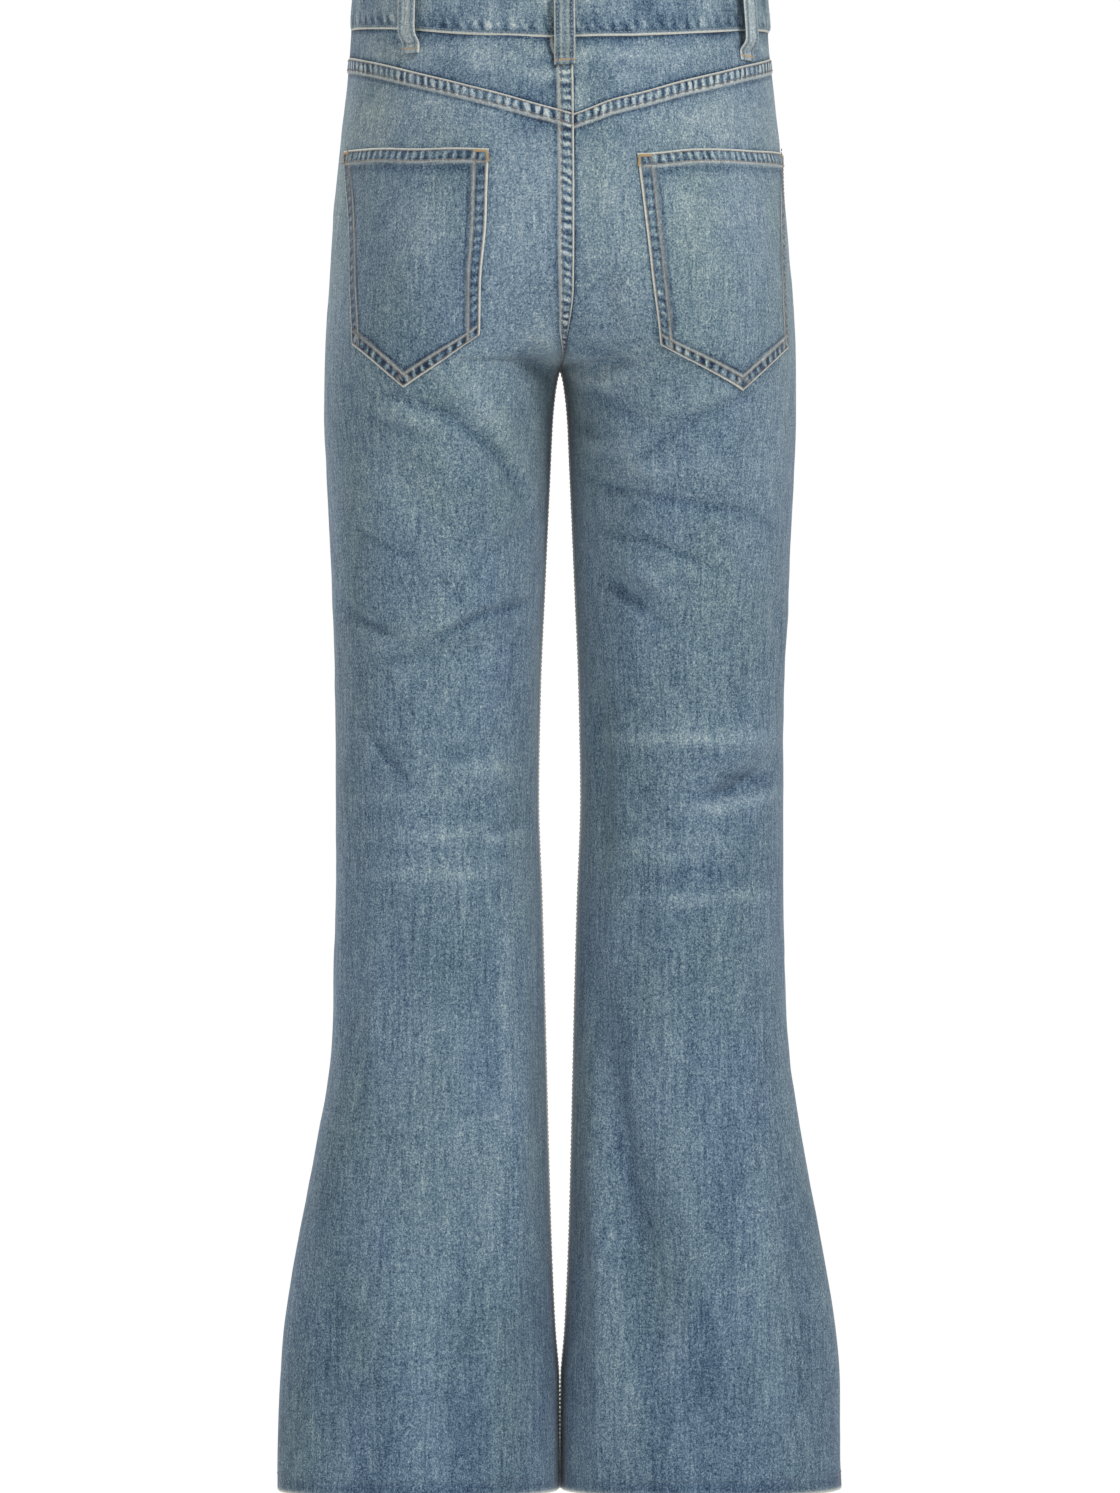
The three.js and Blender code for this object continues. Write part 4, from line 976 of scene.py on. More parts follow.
def backPocket(leg):
    corners = pocketCorners[leg]
    marks = np.array([0, 0.25, 0.6, 1.2, 2.0, 3.2, 4.6, 6.0, 7.2, 8.2, 9.0, 9.8, 10.8, 12.2])
    width = abs(pocketOutline(leg)[0][-1, 0] - pocketOutline(leg)[0][0, 0])
    depth = abs(corners["outerTop"][1] - corners["tip"][1])
    across = np.concatenate([marks / width, np.linspace(marks[-1] / width, 1 - marks[-1] / width, 44)[1:-1],
                             1 - marks[::-1] / width])
    nearest = np.argmin(np.abs(across - pocket["tipAt"]))
    across[nearest] = pocket["tipAt"]
    downward = np.concatenate([marks / depth, np.linspace(marks[-1] / depth, 1 - marks[-1] / depth, 62)[1:-1],
                               1 - marks[::-1] / depth])[:, None]
    s = across[None, :]
    leftPart = seenStraight(corners["outerBottom"], corners["tip"], np.minimum(s / pocket["tipAt"], 1))
    pastTip = np.maximum((s - pocket["tipAt"]) / (1 - pocket["tipAt"]), 0)
    rightPart = seenStraight(corners["tip"], corners["innerBottom"], pastTip)
    bottom = [np.where(s < pocket["tipAt"], a, b) for a, b in zip(leftPart, rightPart)]
    turn, height = seenStraight(seenStraight(corners["outerTop"], corners["innerTop"], s), bottom, downward)
    outline = pocketOutline(leg)
    distances, alongs = edgeMeasures(outline, pocketFlat(turn, height))
    proud = pocketProud(distances)
    fields = blankFields(turn.shape)
    for k in range(1, 5):
        strength, period = (1.0, 8.8) if k in (2, 3) else (0.42, 7.4)
        bandTraits(fields, distances[k], alongs[k], pocket["edge"], edge=0.95, period=period, strength=strength)
    top = blankFields(turn.shape)
    bandTraits(top, distances[0], alongs[0], pocket["band"], edge=0.95, period=5.8, strength=0.72)
    over = smooth((pocket["band"] + 2 - distances[0]) / 1.5)
    for trait in ("band", "grooveShade"):
        fields[trait] = lerp(fields[trait], top[trait], over)
    fields["along"] = np.where(over > 0.5, top["along"], fields["along"])
    fields["edge"] = np.maximum(fields["edge"] * (1 - 0.4 * over), top["edge"])
    under = np.minimum.reduce([distances[k] for k in range(1, 5)])
    # Painted shade below the top band and inside along the pocket's edges
    fields["grooveShade"] = np.maximum(fields["grooveShade"], 0.45 * ridge(distances[0], pocket["band"] + 4.5, 3.2))
    pale = 0.05 if leg == "right" else -0.02
    near = np.exp(-np.maximum(under - pocket["edge"], 0) / 11) + 0.5 * np.exp(-np.maximum(distances[0] - 13, 0) / 16)
    fields["washAndShade"] = pale - 0.1 * near - 0.05
    if leg == "left":
        middle = ridge(alongs[0], 0.78 * width, 0.12 * width) * ridge(distances[0], 62, 34)
        fields["washAndShade"] = fields["washAndShade"] + 0.1 * middle
    fromInner = np.repeat((width * (1 - s)), len(downward), axis=0)
    wall = np.full(turn.shape, pocket["wall"])
    panel(f"back_pocket_{leg}", leg, turn, height, width - fromInner, fromInner, proud, wall, fields)


# ---- cloth behind the front pocket mouths


def pocketFacing(leg):
    s = np.linspace(0, 1, 30)[None, :]
    share = np.linspace(0, 1, 30)[:, None]
    turn = lerp(sideSeamTurn - seamOffset, facing["inner"], s)
    top = waistSeam(turn)
    height = lerp(top, lerp(top, facing["bottom"], np.sqrt(1 - (s * 0.9) ** 2)), share)
    turn, height = np.broadcast_arrays(turn, height)
    fields = blankFields(turn.shape)
    proud = np.full(turn.shape, -facing["recess"])
    length = s * facing["width"] + 0 * share
    wall = np.full(turn.shape, facing["wall"])
    panel(f"pocket_facing_{leg}", leg, turn, height, length, facing["width"] - length, proud, wall, fields)


# ---- waistband, belt loops and fly shield

def ringTurn(around):
    place = np.mod(around + 4, 4)
    return np.where(place <= 2, place - 1, 3 - place)


# A place right round the body: 0 at centre front, 1 at the left side, 2 at centre back, 3 at the right
def ringPoint(around, height, proud):
    around, height = np.broadcast_arrays(np.asarray(around, float), np.asarray(height, float))
    turn = ringTurn(around)
    right = (np.mod(around + 4, 4) > 2)[..., None]
    point = plainPoint(turn, height)
    normal = normalAt(plainPoint, turn, height)
    flip = np.where(right, np.array([-1, 1, 1]), np.array([1, 1, 1]))
    return (point + normal * np.asarray(proud)[..., None]) * flip, normal * flip


def bandStep(around):
    fromCentre = np.where(around > 2, 4 - around, around)
    step = np.where(around > 2, -fly["step"], fly["step"])
    return step * smooth((1 - bandEnds["lap"] - fromCentre) / fly["reach"] + 1)


waistMarks = np.array([0, 0.3, 0.8, 1.6, 2.6, 4.0, 6.0, 9.0, 12.5, 16, 20, 24, 27.5, 31, 34, 36, 37.4,
                       38.4, 39.2, 39.7, 40])


def slotShare(across, up):
    half = buttonhole["length"] / 2 - buttonhole["width"] / 2
    return np.hypot(np.maximum(np.abs(across) - half, 0), up)


def makeWaistband():
    main = np.linspace(bandEnds["under"], 0.22, 470)
    fine = np.linspace(0.22, bandEnds["over"], 66)[1:]
    around = np.concatenate([main, fine])[None, :]
    above = waistMarks[:, None]
    height = waistSeam(ringTurn(around)) + above
    edge = np.minimum(above, waistband["height"] - above)
    rounding = 0.95 * np.exp(-edge / 0.45)
    base, normal = ringPoint(around, height, waistband["proud"] + bandStep(around) + 0 * above)
    pucker = 0.55 * softNoise(base, np.array([9, 9, 24])) + 0.4 * softNoise(base + 91, 30)
    pucker = pucker + 1.1 * (ridge(around, 1.06, 0.012) + ridge(around, 2.955, 0.012)) * ridge(above, 9, 12)
    ends = np.minimum(1, smooth(np.minimum(around - bandEnds["over"], bandEnds["under"] - around) / 0.01) + 0.3)
    rise = pucker * smooth(edge / 4) * ends - rounding
    outer = base + normal * rise[..., None]
    inner = base - normal * (waistband["wall"] - rounding)[..., None]
    outer, inner = settled(outer), settled(inner)
    length = pathLengths(base, 1)
    fields = blankFields(rise.shape)
    fields["across"], fields["down"] = length, 40 - above + 0 * around
    blobs = softNoise(base + 33, np.array([7, 7, 12]))
    fields["washAndShade"] = 0.03 + (0.24 * pucker + 0.13 * blobs) * smooth(edge / 3) - 0.06 * ridge(above, 5, 3)
    fields["edge"] = np.maximum(np.exp(-(above / 1.3) ** 4), 0.9 * np.exp(-((40 - above) / 1.3) ** 4)) + 0 * around
    # Painted shade in the channels of the two stitch rows
    fields["grooveShade"] = 0.45 * (ridge(above, 3.0, 0.8) + ridge(above, 37.2, 0.8)) + 0 * around
    fields["band"] = 0.6 * (smooth((above - 3) / 2) * smooth((15 - above) / 9)
                             + smooth((37 - above) / 2) * smooth((above - 25) / 9)) + 0 * around
    fields["along"] = length * (2 * np.pi / 9.5) / 1000
    place = ringPoint(np.array(button["around"]), waistSeam(ringTurn(button["around"])) + 20.0, np.array(1.0))[0]
    middle = base - place
    sideways = np.hypot(middle[..., 0], middle[..., 1]) * np.sign(middle[..., 0])
    inSlot = (slotShare(sideways, middle[..., 2]) < buttonhole["width"] / 2) & (around < 0.4)
    hole = inSlot[:-1, :-1] & inSlot[1:, 1:] & inSlot[1:, :-1] & inSlot[:-1, 1:]
    made = shell("waistband_cloth", outer, inner, fields, [outsideDenim, outsideDenim], hole)
    clothPiece(made, "waistband", outer)
    panels["waistband"] = {"outer": outer, "normal": normal, "down": 40 - above + 0 * around}


# A strap of folded denim that stands off the band between its two sewn ends
def makeLoop(listing):
    around, bottom = listing["around"], listing["bottom"]
    top = float(waistSeam(ringTurn(around))) + waistband["height"] - 1
    half = loopStrap["wall"] / 2
    onBand = waistband["proud"] + 0.3 + half
    onYoke = listing["clear"] - 0.2 + half
    away = waistband["proud"] + loopStrap["stand"] + half
    seat, rise = loopStrap["seat"], loopStrap["rise"]
    route = [(top, onBand), (top - seat, onBand + 0.2), (top - seat - rise / 2, lerp(onBand, away, 0.75)),
             (top - seat - rise, away), (lerp(top, bottom, 0.5), away + 0.3), (bottom + seat + rise, away),
             (bottom + seat + rise / 2, lerp(onYoke, away, 0.72)), (bottom + seat, onYoke + 0.2), (bottom, onYoke)]
    share = np.linspace(0, len(route) - 1, 52)
    control = np.array([route[0]] + route + [route[-1]], float)
    k = np.minimum(share.astype(int), len(route) - 2)
    t = (share - k)[:, None]
    a, b, c, d = (control[k + i] for i in range(4))
    spline = 0.5 * (2 * b + (c - a) * t + (2 * a - 5 * b + 4 * c - d) * t ** 2 + (3 * b - a - 3 * c + d) * t ** 3)
    leaning = around + listing["lean"] * (top - spline[:, 0]) / (top - bottom)
    centres, _ = ringPoint(leaning, spline[:, 0], spline[:, 1])
    step = 0.03
    east = ringPoint(np.array(around - step), np.array(float(bottom)), np.array(0.0))[0]
    west = ringPoint(np.array(around + step), np.array(float(bottom)), np.array(0.0))[0]
    sideways = east - west
    sideways[2] = 0
    sideways = unit(sideways)
    thick = unit(np.cross(np.gradient(centres, axis=0), sideways))
    out = centres * np.array([1, 1, 0])
    thick = thick * np.sign(np.sum(thick * out, axis=1))[:, None]
    width = loopStrap["width"] / 2
    u = np.array([-1, -0.985, -0.95, -0.88, -0.78, -0.66, -0.5, -0.34, -0.17, 0,
                  0.17, 0.34, 0.5, 0.66, 0.78, 0.88, 0.95, 0.985, 1]) * width
    rounding = np.sqrt(np.clip(1 - (np.maximum(np.abs(u) - (width - half), 0) / half) ** 2, 0.04, 1))
    rib = 0.22 * np.cos(u / width * np.pi * 3.2)
    length = pathLengths(centres[None], 1)[0]
    total = length[-1]
    ends = np.minimum(length, total - length)
    closing = np.sqrt(np.clip(1 - (np.maximum(0.7 - ends, 0) / 0.7) ** 2, 0.09, 1))[:, None]
    fold = 0.7 * smooth((6.5 - (total - length)) / 1.5)[:, None]
    outerThick = (half + rib * smooth(ends / 5)[:, None]) * rounding * closing + fold * rounding
    innerThick = half * rounding * closing
    grid = centres[:, None] + u[None, :, None] * sideways
    outer = wandered(grid + outerThick[..., None] * thick[:, None])
    inner = wandered(grid - innerThick[..., None] * thick[:, None])
    fields = blankFields(outerThick.shape)
    fields["edge"] = 0.85 * np.exp(-((width - np.abs(u)) / 0.8) ** 2) + 0 * closing
    fields["edge"] = np.maximum(fields["edge"], 0.4 * ridge(np.abs(u), 0.3 * width, 0.9) + 0 * closing)
    # Painted shade in the stitch channels and at the fold near the lower end
    fields["grooveShade"] = 0.6 * ridge(np.abs(u), 0.66 * width, 0.7) + 0.6 * ridge((total - length)[:, None], 7.4, 0.7)
    shade = -0.04 if listing["name"] == "belt_loop_centre_back" else 0.16
    fields["washAndShade"] = shade + 0.1 * ridge(u, 0, 2.5) * (shade > 0) + 0 * closing
    fields["across"], fields["down"] = u + width + 0 * closing, length[:, None] + 0 * rounding
    made = shell(listing["name"] + "_cloth", outer, inner, fields, [outsideDenim, outsideDenim])
    clothPiece(made, listing["name"], outer)
    normal = np.repeat(thick[:, None], len(u), axis=1)
    panels[listing["name"]] = {"outer": outer, "normal": normal, "fromInner": fields["across"],
                               "down": fields["down"], "up": total - fields["down"]}


shield = {"from": -0.07, "to": 0.16, "depth": -3.9, "drop": 1.5, "bottom": -165.0, "wall": 1.4, "perAround": 210}


def makeShield():
    around = np.linspace(shield["from"], shield["to"], 26)[None, :]
    share = np.linspace(0, 1, 40)[:, None]
    height = lerp(float(waistSeam(-1.0)) - shield["drop"], shield["bottom"], share) + 0 * around
    centre = np.full(height.shape, shield["depth"])
    outer, normal = ringPoint(around + 0 * height, height, centre)
    inner = outer - normal * shield["wall"]
    fields = blankFields(height.shape)
    fields["across"] = (around - shield["from"]) * shield["perAround"] + 0 * height
    fields["down"] = pathLengths(outer, 0)
    made = shell("fly_shield_cloth", outer, inner, fields, [insideDenim, insideDenim])
    clothPiece(made, "fly_shield", outer)


for leg in ("left", "right"):
    backLeg(leg)
    frontLeg(leg)
    backYoke(leg)
    backPocket(leg)
    pocketFacing(leg)
makeWaistband()
for listing in loops:
    makeLoop(listing)
makeShield()
print("cloth done")


# ---- stitching

# Points on a panel at one distance by some measure, row by row or column by column
def trace(name, measure, distance, byRow=True, keep=None):
    source = panels[name]
    field, points, normals = source[measure], source["outer"], source["normal"]
    if not byRow:
        field, points, normals = field.T, points.transpose(1, 0, 2), normals.transpose(1, 0, 2)
    found, away = [], []
    for i in range(len(field)):
        line = field[i]
        if not line.min() <= distance <= line.max():
            continue
        order = np.argsort(line)
        at = np.interp(distance, line[order], order.astype(float))
        k = min(int(at), len(line) - 2)
        found.append(lerp(points[i, k], points[i, k + 1], at - k))
        away.append(lerp(normals[i, k], normals[i, k + 1], at - k))
    found, away = np.array(found), unit(np.array(away))
    if keep is not None:
        chosen = keep(found)
        found, away = found[chosen], away[chosen]
    return found, away


# Stitches laid along a line: short rounded threads that dip into the cloth at both ends
def threadsAlong(points, normals, pitch=3.1, share=0.78, radius=0.42, sink=0.12):
    steps = np.linalg.norm(np.diff(points, axis=0), axis=1)
    length = np.concatenate([[0], np.cumsum(steps)])
    count = max(int(length[-1] / pitch), 1)
    centre = (np.arange(count) + 0.5) * length[-1] / count + random.normal(0, 0.05 * pitch, count)
    reach = share * pitch / 2

    def at(values, where):
        return np.stack([np.interp(where, length, values[:, k]) for k in range(3)], axis=1)

    normal = unit(at(normals, centre))
    return at(points, centre - reach), at(points, centre + reach), normal, np.full(count, radius), np.full(count, sink)


def threadMesh(name, lines, material):
    starts, ends, normals, radii, sinks = (np.concatenate(part) for part in zip(*lines))
    along = unit(ends - starts)
    side = unit(np.cross(along, normals))
    count = len(starts)
    rings, sides = 4, 5
    angle = np.arange(sides) * 2 * np.pi / sides + 0.3
    points = np.empty((count, rings, sides, 3))
    shape = ((0.0, 0.5, -0.5), (0.2, 0.95, 0.25), (0.8, 0.95, 0.25), (1.0, 0.5, -0.5))
    for i, (share, size, raised) in enumerate(shape):
        centre = lerp(starts, ends, share) + normals * (radii * raised - sinks)[:, None]
        for k in range(sides):
            offset = normals * math.cos(angle[k]) + side * math.sin(angle[k])
            points[:, i, k] = centre + offset * (radii * size)[:, None]
    index = np.arange(count * rings * sides).reshape(count, rings, sides)
    turned = np.roll(index, -1, axis=2)
    quads = np.stack([index[:, :-1], index[:, 1:], turned[:, 1:], turned[:, :-1]], axis=-1).reshape(-1, 4)
    faces = quads.tolist() + index[:, 0].tolist() + index[:, -1, ::-1].tolist()
    mesh = bpy.data.meshes.new(name)
    mesh.from_pydata((points.reshape(-1, 3) * metre).tolist(), [], faces)
    mesh.materials.append(material)
    mesh.polygons.foreach_set("use_smooth", np.ones(len(faces), bool))
    mesh.update()
    made = addObject(name, mesh)
    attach(made, "root")
    print(name, "threads", count)


# A bar of dense stitches laid side by side between two points
def barTack(start, end, normal, width=2.4, radius=0.34):
    length = np.linalg.norm(end - start)
    count = max(int(length / 0.55), 3)
    along = (end - start) / length
    side = unit(np.cross(along, normal))
    middle = lerp(start[None], end[None], ((np.arange(count) + 0.5) / count)[:, None])
    slant = along * 0.35
    wide = width / 2 * random.uniform(0.85, 1.1, count)[:, None]
    first = middle - side * wide - slant
    second = middle + side * wide + slant
    return first, second, np.repeat(normal[None], count, axis=0), np.full(count, radius), np.full(count, -0.1)


# A line inside the pocket's outline, along some of its edges, at a distance from each
def pocketLine(leg, edges, insets):
    outline = pocketOutline(leg)
    middle = np.mean([line.mean(axis=0) for line in outline], axis=0)
    places = []
    for k in edges:
        share = np.linspace(0, 39, 78)
        line = np.stack([np.interp(share, np.arange(40), outline[k][:, axis]) for axis in (0, 1)], axis=1)
        way = unit(np.gradient(line, axis=0))
        inward = np.stack([-way[:, 1], way[:, 0]], axis=1)
        inward = inward * np.sign(np.sum((middle - line) * inward, axis=1))[:, None]
        moved = line + inward * insets[k]
        distances, _ = edgeMeasures(outline, moved)
        others = [j for j in range(5) if j != k]
        places.append(moved[np.all([distances[j] > insets[j] - 0.2 for j in others], axis=0)])
    places = np.concatenate(places)
    turn, height = pocketUnflat(places)
    distances, _ = edgeMeasures(outline, places)
    return onCloth(leg, turn, height, pocketProud(distances))


tan, gold, tonal, blue = [], [], [], []
for leg in ("left", "right"):
    back, front = f"back_leg_{leg}", f"front_leg_{leg}"
    for distance in (1.7, 8.3):
        tan.append(threadsAlong(*trace(back, "down", distance, byRow=False)))
        tan.append(threadsAlong(*trace(front, "fromInner", distance, keep=lambda p: p[:, 2] < -214)))
        rim = trace(front, "fromOuter", distance, keep=lambda p: p[:, 2] > mouth["side"] + 2)
        tan.append(threadsAlong(*rim))
    for name in (back, front):
        blue.append(threadsAlong(*trace(name, "up", 12.4, byRow=False), pitch=3.4))
    near, far = 1.8, pocket["edge"] - 0.9
    tan.append(threadsAlong(*pocketLine(leg, (1, 2, 3, 4), [near] * 5)))
    tan.append(threadsAlong(*pocketLine(leg, (1, 2, 3, 4), [near] + [far] * 4)))
    tan.append(threadsAlong(*pocketLine(leg, (0,), [near] * 5)))
    tan.append(threadsAlong(*pocketLine(leg, (0,), [pocket["band"] - 0.6] + [near] * 4)))
for distance in (1.7, 8.3):
    tan.append(threadsAlong(*trace("back_leg_left", "fromInner", distance, keep=lambda p: p[:, 2] > crotchHeight - 1)))
    tan.append(threadsAlong(*trace("back_yoke_left", "fromInner", distance)))
tonal.append(threadsAlong(*trace("waistband", "down", 37.4, byRow=False)))
tonal.append(threadsAlong(*trace("waistband", "down", 2.6, byRow=False)))

# The fly: two rows down the left front that curve in to the centre seam
for inset in flyInsets:
    straight = np.linspace(float(waistSeam(-1.0)) - 2, flyTurn, 60)
    curve = np.linspace(0, np.pi / 2, 24)[1:]
    away = np.concatenate([np.full(60, inset), inset * np.cos(curve)])
    level = np.concatenate([straight, flyTurn - (inset + 4) * np.sin(curve)])
    perTurn = meanRadius(level) * seamAngle(level)
    tan.append(threadsAlong(*onCloth("left", -1 + np.maximum(away, 1.5) / perTurn, level, np.full(len(level), 0.15))))

for listing in loops:
    name = listing["name"]
    width = loopStrap["width"]
    for across in (0.17 * width, 0.83 * width):
        tonal.append(threadsAlong(*trace(name, "fromInner", across), pitch=2.8))
    outer, normal = panels[name]["outer"], panels[name]["normal"]
    for row in (-4, 4):
        gold.append(barTack(outer[row, 2], outer[row, -3], normal[row, 9], 2.2))

# Bar tacks at the pocket corners, at the ends of the front pocket mouths and at the fly's foot
for leg in ("left", "right"):
    outline = pocketOutline(leg)
    corners = [line[0] for line in outline]
    for corner, other, below in ((0, 1, 4), (1, 0, 2)):
        aside = (corners[other] - corners[corner]) / np.linalg.norm(corners[other] - corners[corner])
        downward = (corners[below] - corners[corner]) / np.linalg.norm(corners[below] - corners[corner])
        start = corners[corner] + aside * 1.8 + downward * 2.0
        for direction, length in ((aside, 8.0), (downward, 8.0)):
            places = np.stack([start, start + direction * length])
            turn, height = pocketUnflat(places)
            ends, away = onCloth(leg, turn, height, pocketProud(edgeMeasures(outline, places)[0]))
            gold.append(barTack(ends[0], ends[1], away[0], 2.0))
    line, away = trace(f"front_leg_{leg}", "fromOuter", 1.7, keep=lambda p: p[:, 2] > mouth["side"] + 2)
    for points, normals in ((line, away), (line[::-1], away[::-1])):
        reached = pathLengths(points[None], 1)[0]
        first, last = np.searchsorted(reached, (1.5, 9.0))
        gold.append(barTack(points[first], points[last], normals[first], 2.0))
flyPlaces, flyNormals = onCloth("left", np.array([-0.985, -0.93]), np.array([-192.0, -186.0]), np.array([0.9, 0.4]))
gold.append(barTack(flyPlaces[0], flyPlaces[1], flyNormals[0], 2.2))

# Close stitches round the buttonhole
def bandPlace(sideways, up):
    perAround = 210.0
    around = button["around"] - sideways / perAround
    height = waistSeam(ringTurn(around)) + 20.0 + up
    return ringPoint(around, height, waistband["proud"] + bandStep(np.asarray(around)) + 0.25)


def buttonholeStitches(straightCount=24, roundCount=18):
    half = buttonhole["length"] / 2 - buttonhole["width"] / 2
    radius = buttonhole["width"] / 2
    rims = []
    for k in range(straightCount):
        x = lerp(-half, half, k / (straightCount - 1))
        rims += [(x, radius, 0, 1), (x, -radius, 0, -1)]
    for k in range(roundCount):
        angle = math.pi * (k + 0.5) / roundCount - math.pi / 2
        for sign in (1, -1):
            cx, cy = math.cos(angle), math.sin(angle)
            rims.append((sign * (half + radius * cx), radius * cy, sign * cx, cy))
    rims = np.array(rims)
    inner, outward = bandPlace(rims[:, 0] - 0.5 * rims[:, 2], rims[:, 1] - 0.5 * rims[:, 3])
    outer, _ = bandPlace(rims[:, 0] + 1.9 * rims[:, 2], rims[:, 1] + 1.9 * rims[:, 3])
    return inner, outer, outward, np.full(len(rims), 0.42), np.full(len(rims), 0.0)


tonal.append(buttonholeStitches())
threadMesh("stitching_tan", tan, threadTan)
threadMesh("stitching_gold", gold, threadGold)
threadMesh("stitching_tonal", tonal, threadTonal)
threadMesh("stitching_blue", blue, threadBlue)
print("stitching done")


# ---- button and zip

def deselect():
    for other in bpy.context.selected_objects:
        other.select_set(False)


def hardPiece(made, name, node, matrix=None):
    made.name = name
    made.data.name = name
    if matrix is not None:
        made.data.transform(matrix)
        made.matrix_world = Matrix.Identity(4)
    made.data.materials.clear()
    made.data.materials.append(brass)
    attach(made, "root")
    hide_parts(node)


buttonPiece = {"name": "waist_button_turned", "segments": 48}


def makeButton():
    place, normal = ringPoint(np.array(button["around"]), waistSeam(ringTurn(button["around"])) + 20.0,
                              np.array(waistband["proud"] + float(bandStep(np.array(button["around"])))))
    shank = 2 * fly["step"]
    deselect()
    bpy.ops.mesh.primitive_cylinder_add(vertices=buttonPiece["segments"], radius=button["head"] * metre,
                                        depth=button["headHeight"] * metre, location=(0, 0, 0))
    made = bpy.context.object
    bpy.ops.object.mode_set(mode="EDIT")
    work = bmesh.from_edit_mesh(made.data)
    top = max(work.faces, key=lambda f: f.calc_center_median().z)

    def only(face):
        bpy.ops.mesh.select_all(action="DESELECT")
        face.select = True
        work.select_flush(True)
        bmesh.update_edit_mesh(made.data)

    bpy.context.tool_settings.mesh_select_mode = (False, False, True)
    only(top)
    bpy.ops.mesh.inset(thickness=(button["head"] - button["rim"]) * metre, depth=0)
    bpy.ops.mesh.inset(thickness=0.9 * metre, depth=-button["crown"] * metre)
    bpy.ops.mesh.inset(thickness=1.6 * metre, depth=0.12 * metre)
    bpy.ops.mesh.inset(thickness=1.7 * metre, depth=0.26 * metre)
    bpy.ops.mesh.inset(thickness=1.5 * metre, depth=0.1 * metre)
    work = bmesh.from_edit_mesh(made.data)
    bottom = min((f for f in work.faces if len(f.verts) > 8), key=lambda f: f.calc_center_median().z)
    only(bottom)
    bpy.ops.mesh.inset(thickness=(button["head"] - button["shank"]) * metre, depth=0)
    bpy.ops.mesh.extrude_region_move(TRANSFORM_OT_translate={"value": (0, 0, -shank * metre)})
    bpy.ops.object.mode_set(mode="OBJECT")
    bevel = made.modifiers.new("edge", "BEVEL")
    bevel.width = 0.35 * metre
    bevel.segments = 3
    bevel.limit_method = "ANGLE"
    bevel.angle_limit = math.radians(50)
    bpy.ops.object.modifier_apply(modifier=bevel.name)
    bpy.ops.object.shade_smooth_by_angle(angle=math.radians(35))
    out = Vector(normal)
    up = Vector((0, 0, 1))
    right = up.cross(out).normalized()
    turned = Matrix((right, out.cross(right), out)).transposed().to_4x4()
    centre = Vector(place * metre) + out * (button["headHeight"] / 2 + 0.3) * metre
    hardPiece(made, buttonPiece["name"], "waist_button", Matrix.Translation(centre) @ turned)


zipPiece = {"name": "zip_chain", "teeth": 62, "bottom": -158.0, "around": 0.025, "width": 6.0, "outer": -0.7}


def zipMatrix(height, sideways, proud):
    place, normal = ringPoint(np.array(zipPiece["around"] + (zipPiece["width"] / 2 + sideways) / 225.0),
                              np.array(height), np.array(proud))
    out = Vector(normal)
    run = Vector((0, 0, 1)).cross(out).normalized()
    return Matrix.Translation(Vector(place * metre)) @ Matrix((run, out.cross(run), out)).transposed().to_4x4()


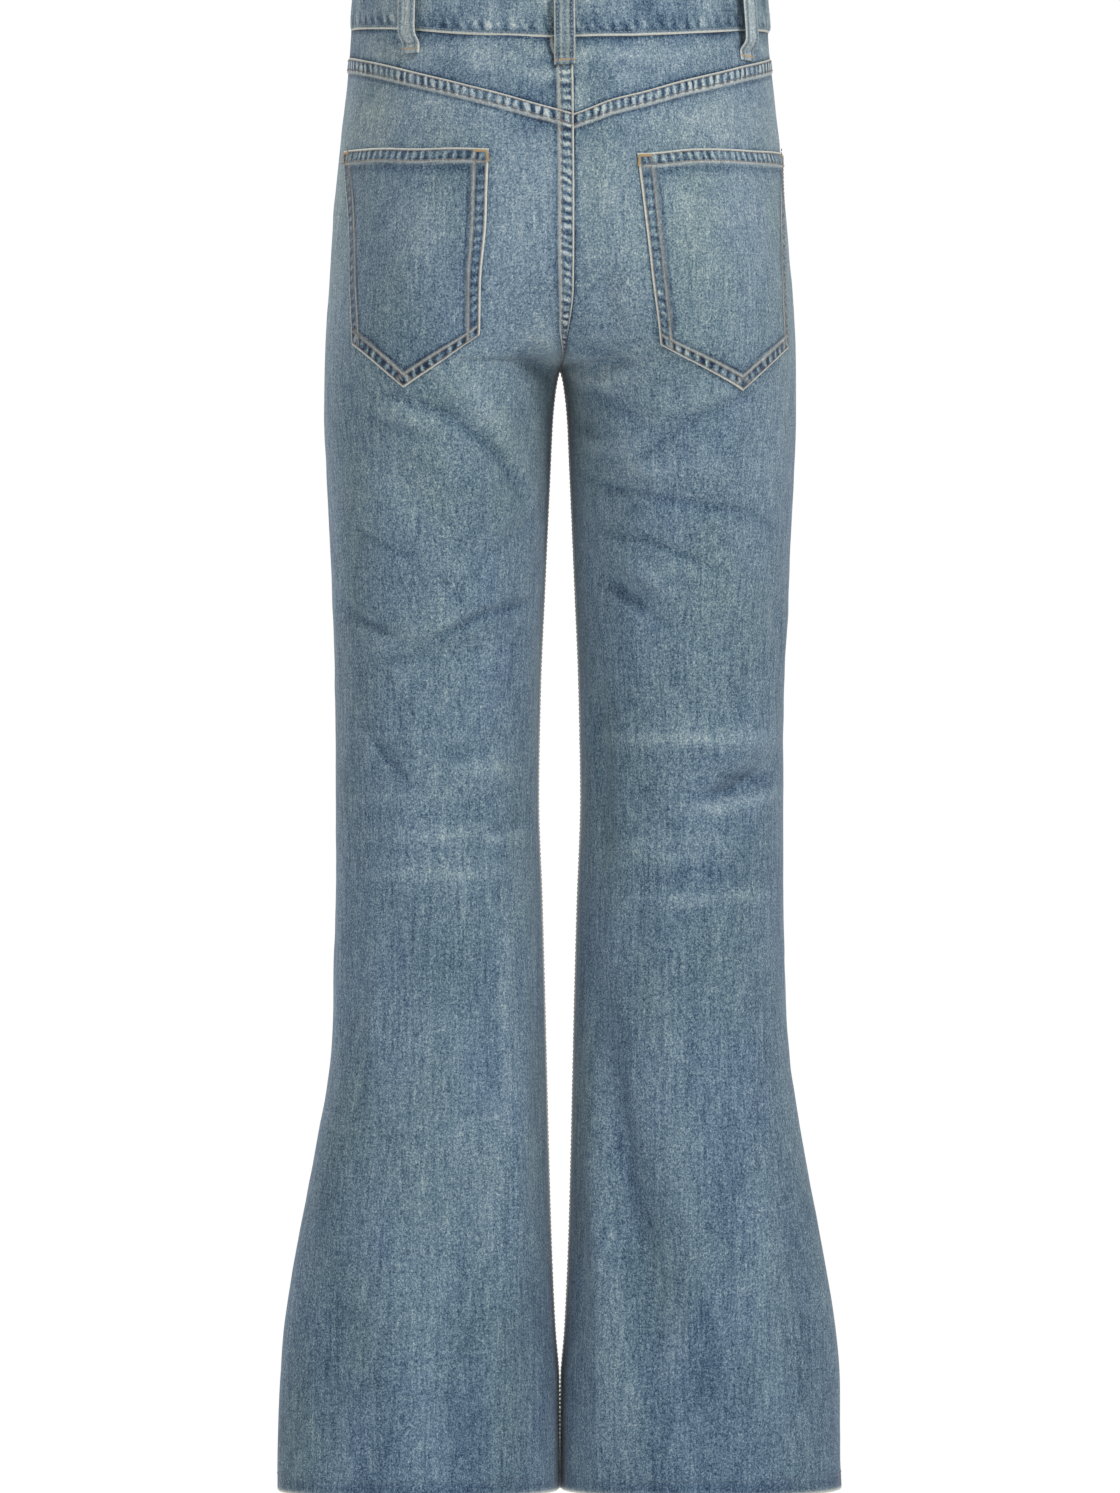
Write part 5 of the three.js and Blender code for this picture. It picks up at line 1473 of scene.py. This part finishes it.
def makeZip():
    top = float(waistSeam(-1.0)) - 2
    parts = []
    deselect()
    bpy.ops.mesh.primitive_cube_add(size=metre)
    tooth = bpy.context.object
    tooth.scale = (3.1, 1.1, 1.3)
    bpy.ops.object.transform_apply(location=False, rotation=False, scale=True)
    bevel = tooth.modifiers.new("edge", "BEVEL")
    bevel.width = 0.25 * metre
    bevel.segments = 2
    bpy.ops.object.modifier_apply(modifier=bevel.name)
    toothHeights = np.linspace(top - 14, zipPiece["bottom"] + 1, zipPiece["teeth"])
    for k, height in enumerate(toothHeights):
        side = 1 if k % 2 else -1
        copy = tooth.copy()
        copy.data = tooth.data.copy()
        copy.data.transform(zipMatrix(float(height), side * 1.2, zipPiece["outer"] - 0.75))
        bpy.context.scene.collection.objects.link(copy)
        parts.append(copy)
    for side in (-1, 1):
        bpy.ops.mesh.primitive_cube_add(size=metre)
        tape = bpy.context.object
        tape.scale = (2.4, top - 1 - zipPiece["bottom"], 0.6)
        bpy.ops.object.transform_apply(location=False, rotation=False, scale=True)
        bpy.ops.object.mode_set(mode="EDIT")
        bpy.ops.mesh.select_all(action="SELECT")
        bpy.ops.mesh.subdivide(number_cuts=8)
        bpy.ops.object.mode_set(mode="OBJECT")
        for vertex in tape.data.vertices:
            height = (top - 1 + zipPiece["bottom"]) / 2 + vertex.co.y / metre
            local = Vector((vertex.co.x, 0, vertex.co.z))
            vertex.co = zipMatrix(height, side * 1.6, zipPiece["outer"] - 1.9) @ local
        parts.append(tape)
    bpy.ops.mesh.primitive_cube_add(size=metre)
    slider = bpy.context.object
    slider.scale = (8.6, 11, 2.1)
    bpy.ops.object.transform_apply(location=False, rotation=False, scale=True)
    bpy.ops.object.mode_set(mode="EDIT")
    work = bmesh.from_edit_mesh(slider.data)
    bpy.ops.mesh.select_all(action="DESELECT")
    low = [v for v in work.verts if v.co.y < 0]
    for vertex in low:
        vertex.select = True
    work.select_flush(True)
    bmesh.update_edit_mesh(slider.data)
    bpy.ops.transform.resize(value=(0.72, 1, 1))
    bpy.ops.object.mode_set(mode="OBJECT")
    bevel = slider.modifiers.new("edge", "BEVEL")
    bevel.width = 0.6 * metre
    bevel.segments = 3
    bpy.ops.object.modifier_apply(modifier=bevel.name)
    slider.data.transform(zipMatrix(top - 6, 0, zipPiece["outer"] - 0.95))
    parts.append(slider)
    bpy.data.objects.remove(tooth, do_unlink=True)
    deselect()
    for part in parts:
        part.select_set(True)
    bpy.context.view_layer.objects.active = slider
    bpy.ops.object.join()
    made = bpy.context.object
    bpy.ops.object.shade_smooth_by_angle(angle=math.radians(35))
    hardPiece(made, zipPiece["name"], "zip")


makeButton()
makeZip()
print("button and zip done")


# ---- floor, backdrop, light and camera

def stageMaterial(name, colour, glow=0.0):
    n = Nodes(name)
    n.shader.inputs["Base Color"].default_value = colour
    n.shader.inputs["Roughness"].default_value = 0.9
    n.shader.inputs["Emission Color"].default_value = (1, 1, 1, 1)
    n.shader.inputs["Emission Strength"].default_value = glow
    return n.material


bpy.ops.mesh.primitive_circle_add(vertices=96, radius=2.5, fill_type="NGON", location=(0, 0, -1.4))
floor = bpy.context.object
floor.name = "floor"
floor.data.materials.append(stageMaterial("pale_floor", srgb(236, 236, 236), 0.25))

bpy.ops.mesh.primitive_uv_sphere_add(segments=48, ring_count=24, radius=24, location=(0, 0, -0.5))
backdrop = bpy.context.object
backdrop.name = "backdrop"
backdrop.data.materials.append(stageMaterial("white_backdrop", (0, 0, 0, 1), 1.0))
for ray in ("visible_diffuse", "visible_glossy", "visible_shadow", "visible_transmission"):
    setattr(backdrop, ray, False)

world = bpy.data.worlds.new("studio")
bpy.context.scene.world = world
world.use_nodes = True
world.node_tree.nodes["Background"].inputs["Color"].default_value = (1, 1, 1, 1)
world.node_tree.nodes["Background"].inputs["Strength"].default_value = 0.37

aim = Vector((0, 0, -0.538))


def softbox(name, place, size, power):
    light = bpy.data.lights.new(name, "AREA")
    light.shape = "SQUARE"
    light.size = size
    light.energy = power
    made = bpy.data.objects.new(name, light)
    made.location = place
    made.rotation_mode = "QUATERNION"
    made.rotation_quaternion = (aim - Vector(place)).to_track_quat("-Z", "Y")
    bpy.context.scene.collection.objects.link(made)


softbox("key_back", (-2.3, 3.0, 2.7), 1.3, 150)
softbox("fill_back", (2.6, 3.8, 0.0), 2.4, 34)
softbox("key_front", (2.3, -3.0, 2.7), 1.3, 150)
softbox("fill_front", (-2.6, -3.8, 0.0), 2.4, 34)

cameraTurn = math.radians(2.2)
camera = bpy.data.cameras.new("camera")
camera.lens = 166
camera.sensor_width = 36
camera.clip_end = 100
cameraObject = bpy.data.objects.new("camera", camera)
cameraObject.location = (5 * math.sin(cameraTurn), 5 * math.cos(cameraTurn), aim.z)
cameraObject.rotation_mode = "QUATERNION"
cameraObject.rotation_quaternion = (aim - cameraObject.location).to_track_quat("-Z", "Y")
bpy.context.scene.collection.objects.link(cameraObject)
bpy.context.scene.camera = cameraObject
bpy.context.scene.view_settings.view_transform = "Standard"
print("stage done")
